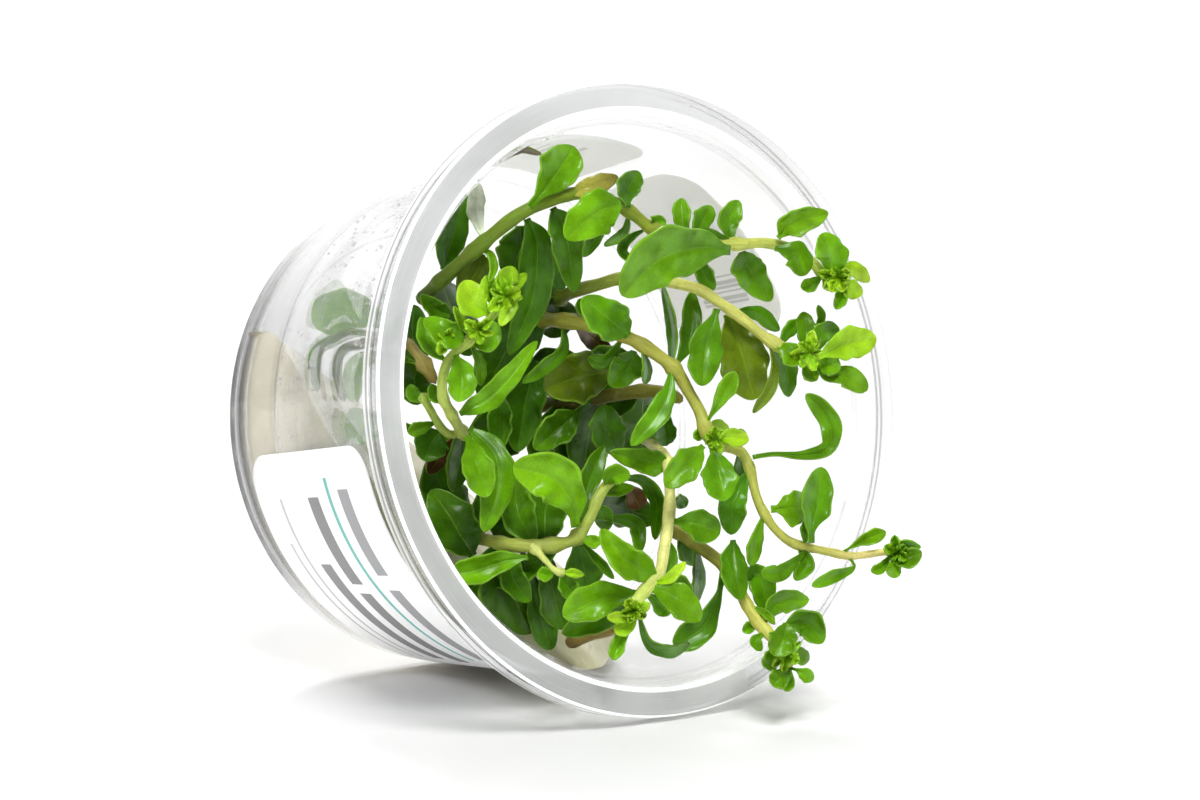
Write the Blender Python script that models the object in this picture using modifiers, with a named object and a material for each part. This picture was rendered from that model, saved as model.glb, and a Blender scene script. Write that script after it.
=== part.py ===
"""A clear tissue-culture cup lying on its side, with its gel, its labels and a leafy stem plant spilling out.

The cup lies along Y with its mouth toward -Y, resting on the rim and on the edge of its base at Z = 0.
Stems and leaves are placed by where they are seen: a photo column, a photo row and the distance in
millimetres past the rim plane, which is negative inside the cup. All other sizes are in millimetres.
"""

import math
from collections import namedtuple

import bmesh
import bpy
import numpy as np
from mathutils import Vector

MM = 0.001

# Cup
CUP_FACETS = 42
CUP_DEPTH = 62.9
RIM_RADIUS = 50.0
RIM_SKIRT_DEPTH = 4.5
RIM_WALL = 0.9
LIP_RADIUS = 45.0
WALL_TOP_RADIUS = 44.77
WALL_BASE_RADIUS = 39.72
WALL = 0.8
BASE_WALL = 1.0
BASE_EDGE_ROUND = 1.5
FOOT_WIDTH = 5.0
FOOT_HEIGHT = 0.6
BASE_INNER_ROUND = 1.5
LIP_CORNER = 0.6
LIP_CORNER_DEPTH = 0.76
LIP_STEP = 0.5
LIP_STEP_DEPTH = 1.5
NECK_DEPTH = 3.0
NECK_FLARE = 1.2
NECK_FLARE_DEPTH = 1.6
NECK_OUTER_DEPTH = 2.4
RIM_CORNER = 0.4


def outer_radius(depth):
    return WALL_TOP_RADIUS + (WALL_BASE_RADIUS - WALL_TOP_RADIUS) * depth / CUP_DEPTH


def inner_radius(depth):
    return outer_radius(depth) - WALL


# The cup rests on the far edge of its skirt and on the edge of its base, each on a flat facet
TO_FLAT = math.cos(math.pi / CUP_FACETS)
BASE_REST_DEPTH = CUP_DEPTH - BASE_EDGE_ROUND
REST_DROP = (RIM_RADIUS - outer_radius(BASE_REST_DEPTH)) * TO_FLAT
TIP_UP = math.atan2(REST_DROP, BASE_REST_DEPTH - RIM_SKIRT_DEPTH)

# Where the middle of the mouth is in the row frame, whose origin is under the middle of the whole
RIM_CENTRE_X = 0.0
RIM_CENTRE_Y = -22.05
RIM_CENTRE_Z = RIM_RADIUS * TO_FLAT * math.cos(TIP_UP) + RIM_SKIRT_DEPTH * math.sin(TIP_UP)

# How the photograph looks at the cup, used only to place what is seen in it
VIEW_AZIMUTH = math.radians(-35.94)
VIEW_ELEVATION = math.radians(7.27)
VIEW_DISTANCE = 600.0
VIEW_ASIDE = 7.58
VIEW_RAISED = 0.30
PIXELS_PER_RADIAN = 3835.5
PHOTO_MIDDLE = (600.0, 400.0)

# Gel, as a profile of (depth past the mouth, height above the cup's axis) before the cup is rolled
GEL_GAP = 0.4
GEL_BASE_GAP = 0.3
GEL_BASE_CORNER = 1.5
GEL_BASE_CORNER_HEIGHT = 1.7
GEL_ROLL = math.radians(40.0)
GEL_PROFILE = (
    (61.4, -50.0),
    (61.4, -9.0),
    (55.0, -9.5),
    (48.0, -12.0),
    (42.0, -16.0),
    (36.0, -20.0),
    (32.0, -24.0),
    (27.0, -28.0),
    (21.0, -32.0),
    (17.5, -36.0),
    (16.5, -50.0),
)

# Labels: degrees round the cup from the top, and depths past the mouth
Label = namedtuple("Label", "start end upper lower corner")
LABELS = {
    "label_front": Label(196.0, 266.5, 15.8, 55.5, 5.0),
    "label_top": Label(-12.0, 23.5, 15.6, 41.0, 4.0),
    "label_side": Label(31.0, 77.0, 16.2, 43.5, 6.0),
}
LABEL_THICK = 0.2
LABEL_GAP = 0.1

LEAF_THICK = 0.4
LEAF_TIP_SHARE = 0.35
LEAF_STALK_SHARE = 0.28
LEAF_TAPER_BEND = 1.25
NARROW_LEAF = 3.0
LEAF_ROW_LENGTH = 3.6
MOST_FUSED_LEAF_ROWS = 3
MOST_LEAF_ROWS = 4
STEM_POINT_SPACING = 7.0

Stem = namedtuple("Stem", "thick tip_thick route")
Leaf = namedtuple("Leaf", "wide route lean fold widest")


def stem(thick, tip_thick, *route):
    return Stem(thick, tip_thick, route)


def leaf(wide, *route, lean=0.0, fold=0.3, widest=0.62):
    """wide and fold in mm; lean is how much nearer the viewer the edge on the route's right hand is."""
    return Leaf(wide, route, lean, fold, widest)


# Each point is a photo column, a photo row and the mm past the rim plane
STEMS = {
    "stem_top": [
        stem(
            2.4, 1.6,
            (418, 303, -16), (455, 268, -8), (490, 237, -3), (520, 214, 1), (550, 200, 3), (580, 193, 4),
            (606, 199, 5), (632, 213, 5), (652, 228, 5), (690, 239, 6), (735, 244, 7), (765, 243, 8),
            (795, 250, 9), (813, 263, 10), (823, 274, 11), (836, 276, 12),
        )
    ],
    "stem_upper": [
        stem(
            2.2, 1.5,
            (556, 300, -14), (575, 291, -8), (600, 284, -4), (622, 278, -1), (650, 277, 1), (675, 283, 3),
            (700, 290, 4), (720, 303, 5), (745, 321, 6), (766, 338, 7), (785, 349, 8), (808, 358, 9),
            (818, 362, 9),
        )
    ],
    "stem_middle": [
        stem(
            2.5, 1.1,
            (528, 321, -20), (548, 320, -12), (575, 322, -6), (605, 329, -2), (635, 341, 1), (660, 357, 3),
            (676, 371, 4), (690, 394, 5), (700, 412, 6), (706, 430, 7), (714, 441, 7), (728, 447, 6),
            (741, 452, 6), (749, 466, 7), (756, 495, 8), (764, 513, 9), (777, 531, 10), (795, 544, 11),
            (830, 552, 13), (852, 556, 14), (885, 552, 15), (895, 553, 15),
        )
    ],
    "stem_dark": [
        stem(
            2.5, 2.0,
            (528, 408, -26), (560, 402, -18), (605, 396, -12), (645, 391, -7), (668, 394, -3), (683, 401, 0),
        )
    ],
    "stem_lower": [
        stem(
            2.3, 1.4,
            (456, 532, -26), (474, 537, -18), (500, 543, -10), (530, 546, -6), (560, 544, -4), (577, 537, -3),
            (590, 518, -2), (597, 500, -2), (606, 486, -2), (617, 478, -2),
        ),
        stem(0.9, 0.8, (531, 544, -6), (545, 560, -3), (556, 571, -1), (566, 573, -1)),
    ],
    "stem_pale": [
        stem(
            1.7, 1.8,
            (640, 436, -18), (655, 447, -8), (667, 459, 0), (669, 475, 2), (670, 500, 3), (668, 525, 4),
            (664, 550, 5), (660, 572, 6), (650, 585, 7), (639, 598, 8), (635, 613, 8),
        )
    ],
    "stem_hanging": [
        stem(
            2.1, 1.8,
            (660, 522, -10), (680, 534, -4), (703, 549, 0), (722, 564, 3), (735, 582, 6), (746, 603, 8),
            (757, 620, 10), (768, 633, 12), (780, 646, 13), (787, 658, 13), (791, 668, 13),
        )
    ],
    "stem_left": [
        stem(
            2.0, 1.2,
            (472, 452, -24), (461, 431, -15), (452, 415, -11), (443, 397, -9), (443, 376, -8), (451, 357, -7),
            (470, 340, -6), (486, 323, -5), (499, 306, -4), (507, 294, -4),
        ),
        stem(1.4, 1.1, (462, 434, -16), (449, 434, -16), (439, 425, -15), (431, 411, -14), (421, 393, -13)),
    ],
    "root_brown": [stem(2.6, 2.2, (634, 620, -2), (613, 627, -5), (590, 634, -9.5), (566, 644, -14.5))],
    "stem_brown": [
        stem(2.1, 1.8, (404, 341, -24), (412, 349, -22), (424, 364, -20), (436, 384, -19)),
        stem(
            1.8, 1.4,
            (404, 341, -24), (385, 340, -27), (362, 344, -30), (343, 350, -33), (337, 372, -33), (344, 402, -30),
        ),
    ],
}

# Leaves that are one piece with their stem
STEM_LEAVES = {
    "stem_dark": [
        leaf(4.6, (640, 392, -7.5), (612, 402, -14), (575, 408, -18), fold=0.0, widest=0.5),
        leaf(6.6, (600, 397, -13), (590, 432, -17), (582, 476, -18), fold=0.0, widest=0.5),
        leaf(6.8, (645, 391, -7), (642, 425, -21), (642, 466, -22.5), fold=0.0, widest=0.5),
        leaf(8.0, (560, 402, -18), (556, 450, -21), (552, 498, -21), fold=0.0, widest=0.5),
        leaf(7.4, (535, 407, -25), (500, 430, -25), (466, 474, -25), fold=0.0, widest=0.5),
        leaf(7.0, (596, 398, -13), (562, 374, -17), (524, 376, -21), fold=0.0, widest=0.55),
        leaf(7.0, (580, 399, -15), (604, 374, -13), (628, 352, -11), fold=0.0, widest=0.55),
        leaf(6.0, (575, 401, -15), (572, 435, -19), (580, 470, -19.5), fold=0.0, widest=0.5),
    ],
    "stem_top": [
        leaf(2.2, (608, 201, 5), (598, 232, 3), (583, 257, 1)),
        leaf(1.4, (629, 212, 5), (624, 232, 2), (604, 246, 0), lean=-1.5, fold=0.0),
        leaf(1.6, (652, 229, 5), (633, 236, 0), (622, 250, -1), (634, 262, -1)),
        leaf(2.6, (651, 231, 5), (657, 224, 5.5), (662, 216, 6)),
        leaf(2.8, (688, 238, 6), (682, 218, 5), (681, 198, 4)),
        leaf(3.2, (692, 238, 6), (702, 221, 6), (711, 206, 5)),
        leaf(3.5, (732, 243, 7), (729, 223, 6), (738, 200, 5)),
        leaf(1.2, (738, 243, 7), (715, 234, 7.5), (697, 229, 7), fold=0.0),
        leaf(2.8, (692, 240, 6), (702, 270, 3), (714, 290, 2)),
        leaf(2.5, (835, 276, 12), (852, 268, 12), (869, 282, 11)),
        leaf(3.0, (835, 276, 12), (848, 287, 13), (862, 295, 13)),
        leaf(2.0, (836, 277, 12), (842, 294, 13), (836, 309, 13)),
        leaf(2.2, (822, 274, 11), (812, 284, 11), (801, 287, 10)),
        leaf(1.5, (823, 275, 11), (827, 284, 11), (829, 291, 10)),
        leaf(1.3, (473, 250, -5.5), (488, 252, -4), (494, 266, -3.4), (489, 283, -2.6)),
        leaf(2.8, (482, 240, -4), (476, 212, -9), (478, 183, -13)),
        leaf(3.2, (568, 196, 4), (591, 187, 6), (618, 177, 6), widest=0.55),
        leaf(6.0, (440, 281, -11), (452, 310, -21), (470, 356, -24), fold=0.0, widest=0.5),
    ],
    "stem_upper": [
        leaf(6.0, (561, 298, -13), (545, 270, -15), (528, 234, -15), fold=0.0, widest=0.5),
        leaf(1.8, (768, 340, 7), (775, 370, 8), (768, 393, 7), (753, 413, 6)),
        leaf(3.6, (775, 345, 7.5), (788, 352, 10), (803, 362, 11)),
        leaf(2.4, (733, 308, 5.5), (757, 313, 5), (779, 331, 5), lean=0.8),
        leaf(3.2, (806, 357, 9), (806, 332, 8), (803, 312, 7)),
        leaf(3.4, (812, 359, 9), (822, 335, 9), (839, 328, 8)),
        leaf(1.3, (812, 345, 8.5), (821, 320, 8), (818, 305, 7)),
        leaf(2.2, (780, 347, 8), (789, 331, 7.5), (801, 320, 7)),
        leaf(3.5, (815, 361, 9), (828, 364, 11), (840, 370, 12), widest=0.55),
        leaf(3.6, (811, 360, 9), (826, 377, 10), (845, 375, 11), (867, 391, 11), widest=0.75),
        leaf(2.4, (803, 357, 9), (809, 371, 9), (816, 381, 9)),
        leaf(3.6, (772, 343, 7.5), (786, 368, 5), (788, 397, 4), widest=0.45),
        leaf(6.4, (561, 298, -13), (557, 312, -17), (550, 338, -19), fold=0.0, widest=0.5),
    ],
    "stem_middle": [
        leaf(1.5, (641, 345, 1.5), (647, 368, 1), (645, 384, 0), lean=1.0),
        leaf(2.4, (622, 335, 0), (606, 361, -3), (588, 358, -4)),
        leaf(2.2, (592, 326, -4), (584, 309, -5), (579, 299, -6)),
        leaf(1.7, (672, 368, 4), (672, 330, 1), (663, 286, 0), lean=2.0, widest=0.5),
        leaf(3.2, (677, 370, 4), (690, 335, 2), (692, 291, 1)),
        leaf(2.8, (706, 424, 6.8), (722, 397, 10), (736, 372, 11), widest=0.7),
        leaf(2.3, (706, 431, 7), (717, 426, 5.5), (728, 434, 4)),
        leaf(1.6, (706, 434, 7), (700, 432, 5.5), (698, 441, 5), widest=0.7),
        leaf(2.8, (712, 440, 7), (730, 437, 9), (749, 440, 10)),
        leaf(2.2, (722, 445, 6.5), (736, 437, 4), (747, 436, 3), widest=0.7),
        leaf(2.2, (710, 438, 7), (716, 447, 8.5), (724, 448, 9)),
        leaf(2.6, (738, 451, 6), (741, 470, 3), (739, 487, 2)),
        leaf(1.8, (806, 547, 12), (806, 530, 13), (811, 517, 13)),
        leaf(2.3, (838, 554, 13.5), (862, 541, 15), (886, 532, 15), widest=0.75),
        leaf(3.3, (893, 553, 15), (906, 558, 17), (922, 552, 18), widest=0.5),
        leaf(2.0, (893, 553, 15), (903, 546, 16), (921, 547, 17), widest=0.5),
        leaf(1.7, (893, 554, 15), (882, 567, 16), (871, 571, 16)),
        leaf(2.4, (894, 554, 15), (894, 568, 17), (892, 578, 17)),
        leaf(2.0, (850, 556, 14), (854, 567, 15), (838, 575, 16), (812, 586, 16), widest=0.75),
        leaf(2.5, (797, 545, 11), (807, 562, 12), (795, 580, 12)),
        leaf(2.7, (804, 568, 12), (782, 572, 13), (761, 572, 13)),
        leaf(2.3, (764, 514, 9), (756, 542, 9), (751, 566, 9)),
        leaf(4.4, (749, 468, 7), (734, 500, 6.5), (731, 535, 6), widest=0.6),
        leaf(3.6, (671, 367, 4), (668, 393, 5), (657, 414, 5), (631, 446, 4)),
        leaf(2.2, (562, 321, -9), (564, 348, -8), (546, 367, -8), (522, 383, -8), widest=0.6),
        leaf(7.4, (545, 320, -13), (510, 344, -18), (482, 402, -23), fold=0.0, widest=0.5),
        leaf(3.2, (575, 322, -6), (592, 338, -12), (612, 354, -14), fold=0.0, widest=0.5),
    ],
    "stem_lower": [
        leaf(1.4, (562, 573, -1), (571, 573, 0), (584, 575, 0)),
        leaf(3.0, (560, 573, -1), (567, 585, -1), (576, 599, -1)),
        leaf(2.2, (556, 571, -1), (547, 574, -3), (537, 573, -4)),
        leaf(3.2, (606, 487, -2), (612, 476, 0), (630, 474, 0)),
        leaf(1.9, (600, 495, -2), (615, 491, -3), (634, 487, -3)),
        leaf(2.5, (616, 478, -2), (643, 481, -3), (657, 503, -4), (655, 540, -5), lean=-1.6, fold=0.0),
        leaf(3.3, (576, 537, -4), (588, 485, -6), (604, 446, -7)),
        leaf(2.0, (580, 536, -3), (591, 541, -1.5), (601, 542, -1)),
        leaf(1.4, (579, 540, -3), (598, 560, -3), (614, 579, -3)),
        leaf(6.0, (580, 540, -4), (583, 565, -6), (588, 588, -7)),
        leaf(5.4, (534, 546, -6), (518, 512, -10), (515, 476, -11), widest=0.5),
        leaf(4.0, (504, 543, -10), (514, 580, -9), (530, 602, -9), widest=0.5),
        leaf(4.4, (545, 545, -5), (554, 596, -11), (564, 630, -12), widest=0.6),
        leaf(3.6, (520, 545, -7), (538, 610, -12), (551, 650, -13), widest=0.7),
        leaf(3.8, (560, 544, -4), (525, 569, -9.5), (494, 586, -10.5), widest=0.5),
        leaf(2.5, (590, 518, -2), (634, 523, -7), (640, 553, -6)),
        leaf(6.0, (545, 545, -5), (545, 512, -13), (556, 470, -16), fold=0.0, widest=0.5),
        leaf(5.6, (500, 543, -10), (482, 592, -15.6), (498, 634, -15.8), fold=0.0, widest=0.5),
        leaf(6.0, (466, 535, -22), (446, 500, -24), (430, 458, -26), fold=0.0, widest=0.5),
        leaf(5.0, (598, 502, -2), (625, 509, -10), (658, 520, -11), fold=0.0, widest=0.5),
        leaf(3.6, (612, 481, -2), (631, 492, -8), (640, 509, -8.5), fold=0.0, widest=0.75),
        leaf(3.0, (597, 505, -2), (603, 515, -3.5), (606, 531, -5), widest=0.55),
        leaf(4.4, (515, 545, -8), (508, 530, -13), (490, 506, -15), fold=0.0, widest=0.5),
        leaf(3.4, (474, 537, -18), (482, 515, -20), (486, 488, -21), fold=0.0, widest=0.5),
    ],
    "stem_pale": [
        leaf(4.0, (668, 463, 0.5), (648, 462, 0), (610, 452, 0), widest=0.4),
        leaf(5.0, (668, 520, 4), (692, 523, 7), (720, 534, 8), widest=0.7),
        leaf(2.2, (670, 505, 3), (680, 502, 2), (688, 500, 1)),
        leaf(1.7, (668, 535, 4.5), (673, 556, 4), (666, 574, 4)),
        leaf(1.8, (636, 609, 8), (622, 617, 9), (607, 617, 9)),
        leaf(2.7, (635, 611, 8), (628, 624, 8), (615, 633, 8)),
        leaf(2.2, (634, 611, 8), (619, 643, 7), (613, 660, 7)),
        leaf(2.0, (637, 606, 8), (647, 641, 5), (668, 652, 5), (690, 643, 5), lean=-1.5, fold=0.0),
        leaf(4.8, (648, 588, 7.5), (675, 597, 11), (700, 621, 12), widest=0.6),
        leaf(2.8, (645, 592, 7.5), (661, 606, 7), (669, 615, 7)),
        leaf(1.7, (652, 583, 7), (668, 579, 10), (686, 562, 11)),
        leaf(2.4, (658, 577, 6.5), (679, 582, 5), (691, 597, 4)),
        leaf(5.6, (642, 593, 7.8), (600, 599, 5), (563, 616, 4), widest=0.6),
        leaf(4.8, (653, 577, 6.5), (640, 568, 8), (621, 556, 8.5), (601, 529, 7.5), fold=0.8, widest=0.45),
        leaf(4.2, (636, 606, 7.5), (602, 617, 2), (562, 634, 0), widest=0.55),
    ],
    "stem_hanging": [
        leaf(2.9, (678, 533, -4), (686, 550, -4), (697, 565, -5)),
        leaf(2.0, (694, 543, -2), (699, 572, 0), (696, 603, 0), lean=1.5, fold=0.0),
        leaf(4.0, (737, 585, 6), (755, 573, 7), (763, 588, 7.5), (765, 612, 8)),
        leaf(3.5, (762, 626, 11), (779, 603, 11), (809, 600, 10)),
        leaf(1.2, (753, 600, 8.6), (765, 613, 11), (775, 624, 12)),
        leaf(1.7, (757, 620, 10), (751, 626, 9), (743, 632, 8)),
        leaf(1.8, (767, 632, 12), (756, 640, 12), (761, 651, 12)),
        leaf(2.8, (780, 646, 13), (772, 658, 13), (770, 671, 12)),
        leaf(2.8, (789, 663, 13), (799, 657, 13), (809, 659, 12)),
        leaf(3.2, (791, 667, 13), (781, 677, 15), (772, 685, 15)),
        leaf(1.5, (791, 668, 13), (790, 682, 12), (785, 691, 12)),
        leaf(2.2, (791, 668, 13), (801, 672, 15), (813, 680, 15), widest=0.75),
        leaf(4.6, (723, 566, 3), (717, 600, 3), (701, 628, 2), (674, 647, 1), widest=0.75),
    ],
    "stem_left": [
        leaf(2.6, (496, 310, -4), (490, 291, -4), (487, 275, -5)),
        leaf(3.2, (506, 296, -4), (508, 281, -2), (511, 266, -2)),
        leaf(1.7, (506, 296, -4), (517, 284, -4), (526, 273, -5)),
        leaf(2.3, (502, 302, -4), (510, 306, -2), (500, 326, -2)),
        leaf(3.2, (466, 343, -6), (488, 342, -4), (494, 321, -3)),
        leaf(1.8, (469, 341, -6), (480, 362, -6), (481, 386, -7)),
        leaf(2.5, (449, 362, -7), (429, 345, -9), (421, 317, -10)),
        leaf(1.4, (472, 339, -6), (464, 325, -4), (454, 306, -4)),
        leaf(2.2, (437, 422, -15), (421, 428, -15), (408, 433, -16)),
        leaf(2.2, (426, 402, -13.5), (415, 396, -15), (409, 385, -16)),
        leaf(2.0, (444, 402, -9.5), (436, 397, -11), (431, 384, -12)),
        leaf(3.2, (461, 431, -15), (459, 462, -20), (453, 492, -21), fold=0.0, widest=0.5),
        leaf(2.8, (461, 431, -15), (441, 456, -22), (428, 474, -22), fold=0.0, widest=0.6),
        leaf(5.0, (472, 452, -24), (410, 428, -26), (370, 425, -26.5), (345, 428, -28), fold=0.0, widest=0.8),
    ],
    "stem_brown": [
        leaf(5.0, (424, 364, -20), (412, 335, -24), (414, 305, -26), fold=0.0, widest=0.5),
        leaf(5.0, (424, 364, -20), (414, 378, -25), (418, 405, -25), fold=0.0, widest=0.5),
        leaf(6.6, (404, 341, -24), (372, 316, -32), (342, 312, -37), (312, 322, -40), fold=0.0, widest=0.7),
        leaf(
            2.0, (404, 341, -24), (366, 333, -28), (340, 338, -31), (318, 350, -35.5), (315, 372, -36), (318, 392, -35),
            fold=0.0, widest=0.6,
        ),
        leaf(3.2, (424, 364, -20), (385, 356, -25), (357, 366, -28), (354, 403, -27), fold=0.0, widest=0.75),
    ],
}

# Leaves that are pieces of their own, each starting just off its stem
LEAVES = {
    "top_leaf_curled": leaf(6.4, (530, 207, 4.5), (545, 188, 5), (560, 168, 4.5), (573, 146, 3), widest=0.7),
    "top_leaf_thin": leaf(1.0, (541, 154, -13), (520, 150, -14), (499, 162, -15), lean=1.2, fold=0.0, widest=0.4),
    "top_leaf_twisted": leaf(3.8, (628, 207, 8), (628, 190, 6), (638, 171, 5)),
    "top_leaf_broad": leaf(6.8, (621, 204, 9), (598, 212, 10), (565, 238, 9), widest=0.5),
    "top_leaf_large": leaf(8.2, (730, 250, 10), (695, 248, 12), (655, 262, 12), (622, 296, 10), widest=0.55),
    "top_leaf_right_upper": leaf(4.1, (778, 238, 10), (791, 225, 11), (828, 213, 10), widest=0.6),
    "top_leaf_right_lower": leaf(4.2, (775, 248, 11), (796, 254, 13), (804, 276, 13), widest=0.6),
    "top_leaf_tip": leaf(5.0, (828, 271, 14), (832, 256, 15), (822, 233, 15), widest=0.5),
    "top_leaf_hanging": leaf(5.1, (742, 252, 6), (750, 272, 4), (771, 301, 4), widest=0.45),
    "left_leaf_high": leaf(4.4, (443, 270, -17), (452, 238, -16), (466, 194, -17), widest=0.5),
    "inner_leaf_dark": leaf(6.0, (520, 226, -4), (520, 248, -6), (508, 278, -7), widest=0.5),
    "inner_leaf_long": leaf(5.4, (527, 219, -0.5), (537, 247, -3), (532, 300, -8), (509, 355, -11), widest=0.5),
    "inner_leaf_shaded": leaf(5.0, (553, 208, 1.5), (566, 236, -1), (574, 292, -5), widest=0.5),
    "inner_leaf_olive": leaf(5.4, (482, 254, -9), (477, 270, -11), (460, 296, -13), widest=0.5),
    "left_leaf_round": leaf(4.8, (489, 314, -2.6), (476, 305, -2), (463, 281, -2), widest=0.6),
    "left_leaf_spoon": leaf(4.5, (456, 355, -4.6), (462, 378, -4), (458, 402, -4), widest=0.55),
    "left_leaf_wide": leaf(4.2, (464, 340, -3), (450, 335, -4), (424, 319, -6), widest=0.5),
    "left_leaf_back": leaf(2.9, (451, 315, -11.5), (436, 309, -12), (421, 295, -12), widest=0.4),
    "left_leaf_long": leaf(3.6, (460, 414, -7.6), (496, 392, -6), (537, 341, -6), widest=0.45),
    "left_leaf_low": leaf(5.0, (440, 432, -19), (432, 442, -19), (424, 461, -19), widest=0.45),
    "left_leaf_large": leaf(5.3, (470, 428, -9), (494, 455, -6), (497, 490, -5), (484, 532, -4), widest=0.5),
    "left_leaf_front": leaf(4.8, (467, 436, -6.5), (476, 462, -2), (487, 497, -1), widest=0.62),
    "inner_leaf_mid": leaf(3.8, (500, 394, -13), (500, 420, -13), (498, 452, -13), widest=0.5),
    "inner_leaf_deep": leaf(5.4, (536, 360, -16), (526, 400, -17), (517, 452, -18), widest=0.5),
    "inner_leaf_back": leaf(5.0, (578, 412, -10), (560, 427, -11), (534, 449, -12), widest=0.5),
    "inner_leaf_big": leaf(7.8, (614, 372, -8), (580, 377, -9), (544, 389, -11), widest=0.5),
    "inner_leaf_shine": leaf(5.6, (617, 456, -11), (608, 432, -9), (604, 405, -9), widest=0.5),
    "inner_leaf_right": leaf(3.6, (665, 446, -7), (665, 434, -7), (663, 412, -8), widest=0.5),
    "middle_leaf_wide": leaf(6.2, (628, 336, 2.8), (612, 322, 4), (582, 298, 4), widest=0.5),
    "middle_leaf_low": leaf(5.0, (634, 351, -1.5), (628, 366, -3), (610, 386, -4), widest=0.5),
    "upper_leaf_front": leaf(5.3, (717, 309, 6.8), (706, 345, 7), (702, 386, 8), widest=0.6),
    "upper_leaf_big": leaf(7.8, (728, 314, 3), (742, 356, 4), (754, 400, 4), widest=0.55),
    "middle_leaf_left": leaf(4.7, (703, 446, 9), (688, 463, 10), (666, 487, 10), widest=0.55),
    "middle_leaf_down": leaf(5.4, (713, 450, 9.5), (719, 475, 11), (724, 501, 12), widest=0.55),
    "upper_leaf_right": leaf(5.2, (818, 357, 12), (845, 345, 13), (876, 338, 13), widest=0.62),
    "middle_leaf_curled": leaf(
        3.4, (753, 457, 9), (775, 454, 9), (803, 455, 10), (828, 448, 11), (831, 428, 11), (821, 409, 10),
        (806, 394, 10), lean=0.9, widest=0.72,
    ),
    "right_leaf_tall": leaf(4.9, (811, 543, 14), (812, 524, 14.5), (817, 504, 14), (821, 467, 12), widest=0.7),
    "right_leaf_fan": leaf(5.6, (771, 509, 10), (787, 508, 11), (808, 509, 11), widest=0.7),
    "hanging_leaf_right": leaf(4.4, (784, 626, 14), (806, 623, 15), (823, 643, 15), widest=0.55),
    "hanging_leaf_round": leaf(4.5, (786, 623, 16), (783, 640, 17), (773, 655, 17), widest=0.5),
    "hanging_leaf_long": leaf(4.2, (733, 540, 7), (733, 565, 8.5), (741, 600, 10), widest=0.55),
    "lower_leaf_big": leaf(7.4, (576, 527, -0.8), (571, 500, 1), (552, 478, 1), (513, 466, 0), widest=0.62),
    "lower_leaf_left": leaf(6.4, (473, 556, -12.5), (462, 538, -14), (449, 516, -15.5), (431, 490, -17), widest=0.5),
    "lower_leaf_bright": leaf(4.1, (528, 557, -5.5), (505, 561, -7), (468, 572, -9), (448, 573, -11), widest=0.6),
    "bottom_leaf_dark": leaf(8.6, (520, 556, -11.6), (512, 590, -12), (530, 634, -14), widest=0.5),
}
Look = namedtuple("Look", "colour roughness clear")
LEAF_LOOK = Look((0.12, 0.36, 0.01), 0.35, 0.0)
STEM_LOOK = Look((0.30, 0.33, 0.07), 0.5, 0.0)
CUP_LOOK = Look((0.90, 0.93, 0.94), 0.1, 0.9)
GEL_LOOK = Look((0.80, 0.74, 0.56), 0.4, 0.4)
PAPER_LOOK = Look((0.90, 0.90, 0.89), 0.6, 0.0)
BROWN_LOOK = Look((0.13, 0.08, 0.02), 0.6, 0.0)


def clear_scene():
    for old in list(bpy.data.objects):
        bpy.data.objects.remove(old, do_unlink=True)


def new_collection(name):
    made = bpy.data.collections.new(name)
    bpy.context.scene.collection.children.link(made)
    return made


def make_home(name):
    """A collection that everything made from here on goes into."""
    new_collection(name)
    bpy.context.view_layer.active_layer_collection = bpy.context.view_layer.layer_collection.children[name]


def add_thing(name, data):
    thing = bpy.data.objects.new(name, data)
    bpy.context.collection.objects.link(thing)
    return thing


def give_look(thing, look):
    skin = bpy.data.materials.new(thing.name + "_skin")
    skin.use_nodes = True
    shader = skin.node_tree.nodes["Principled BSDF"]
    shader.inputs["Base Color"].default_value = (*look.colour, 1.0)
    shader.inputs["Roughness"].default_value = look.roughness
    shader.inputs["Transmission Weight"].default_value = look.clear
    thing.data.materials.clear()
    thing.data.materials.append(skin)


def add_boolean(thing, operation, cutter):
    change = thing.modifiers.new(operation.lower(), "BOOLEAN")
    change.operation = operation
    change.solver = "EXACT"
    change.object = cutter


def as_helper(thing, helpers):
    """Keeps a thing that only shapes another one out of the part."""
    for home in list(thing.users_collection):
        home.objects.unlink(thing)
    helpers.objects.link(thing)
    thing.hide_render = True
    thing.display_type = "WIRE"


# Placing by the photograph


def cup_axes():
    """The unit vectors across the cup, up across its mouth, and out of its mouth."""
    across = np.array([1.0, 0.0, 0.0])
    up = np.array([0.0, math.sin(TIP_UP), math.cos(TIP_UP)])
    out = np.array([0.0, -math.cos(TIP_UP), math.sin(TIP_UP)])
    return across, up, out


def view_axes():
    """The unit vectors to the right, up and back toward the viewer of the photograph."""
    back = np.array([
        math.sin(VIEW_AZIMUTH) * math.cos(VIEW_ELEVATION),
        -math.cos(VIEW_AZIMUTH) * math.cos(VIEW_ELEVATION),
        math.sin(VIEW_ELEVATION),
    ])
    right = np.array([math.cos(VIEW_AZIMUTH), math.sin(VIEW_AZIMUTH), 0.0])
    return right, np.cross(back, right), back


def view_point():
    right, up, back = view_axes()
    return back * VIEW_DISTANCE - right * VIEW_ASIDE - up * VIEW_RAISED


def seen_at(column, row, past_rim):
    """The point in mm, from the middle of the mouth, seen at this pixel at this distance past the rim plane."""
    right, up, back = view_axes()
    aside = (column - PHOTO_MIDDLE[0]) / PIXELS_PER_RADIAN
    above = (PHOTO_MIDDLE[1] - row) / PIXELS_PER_RADIAN
    ray = right * aside + up * above - back
    out = cup_axes()[2]
    reach = (past_rim - view_point() @ out) / (ray @ out)
    return view_point() + reach * ray


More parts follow.
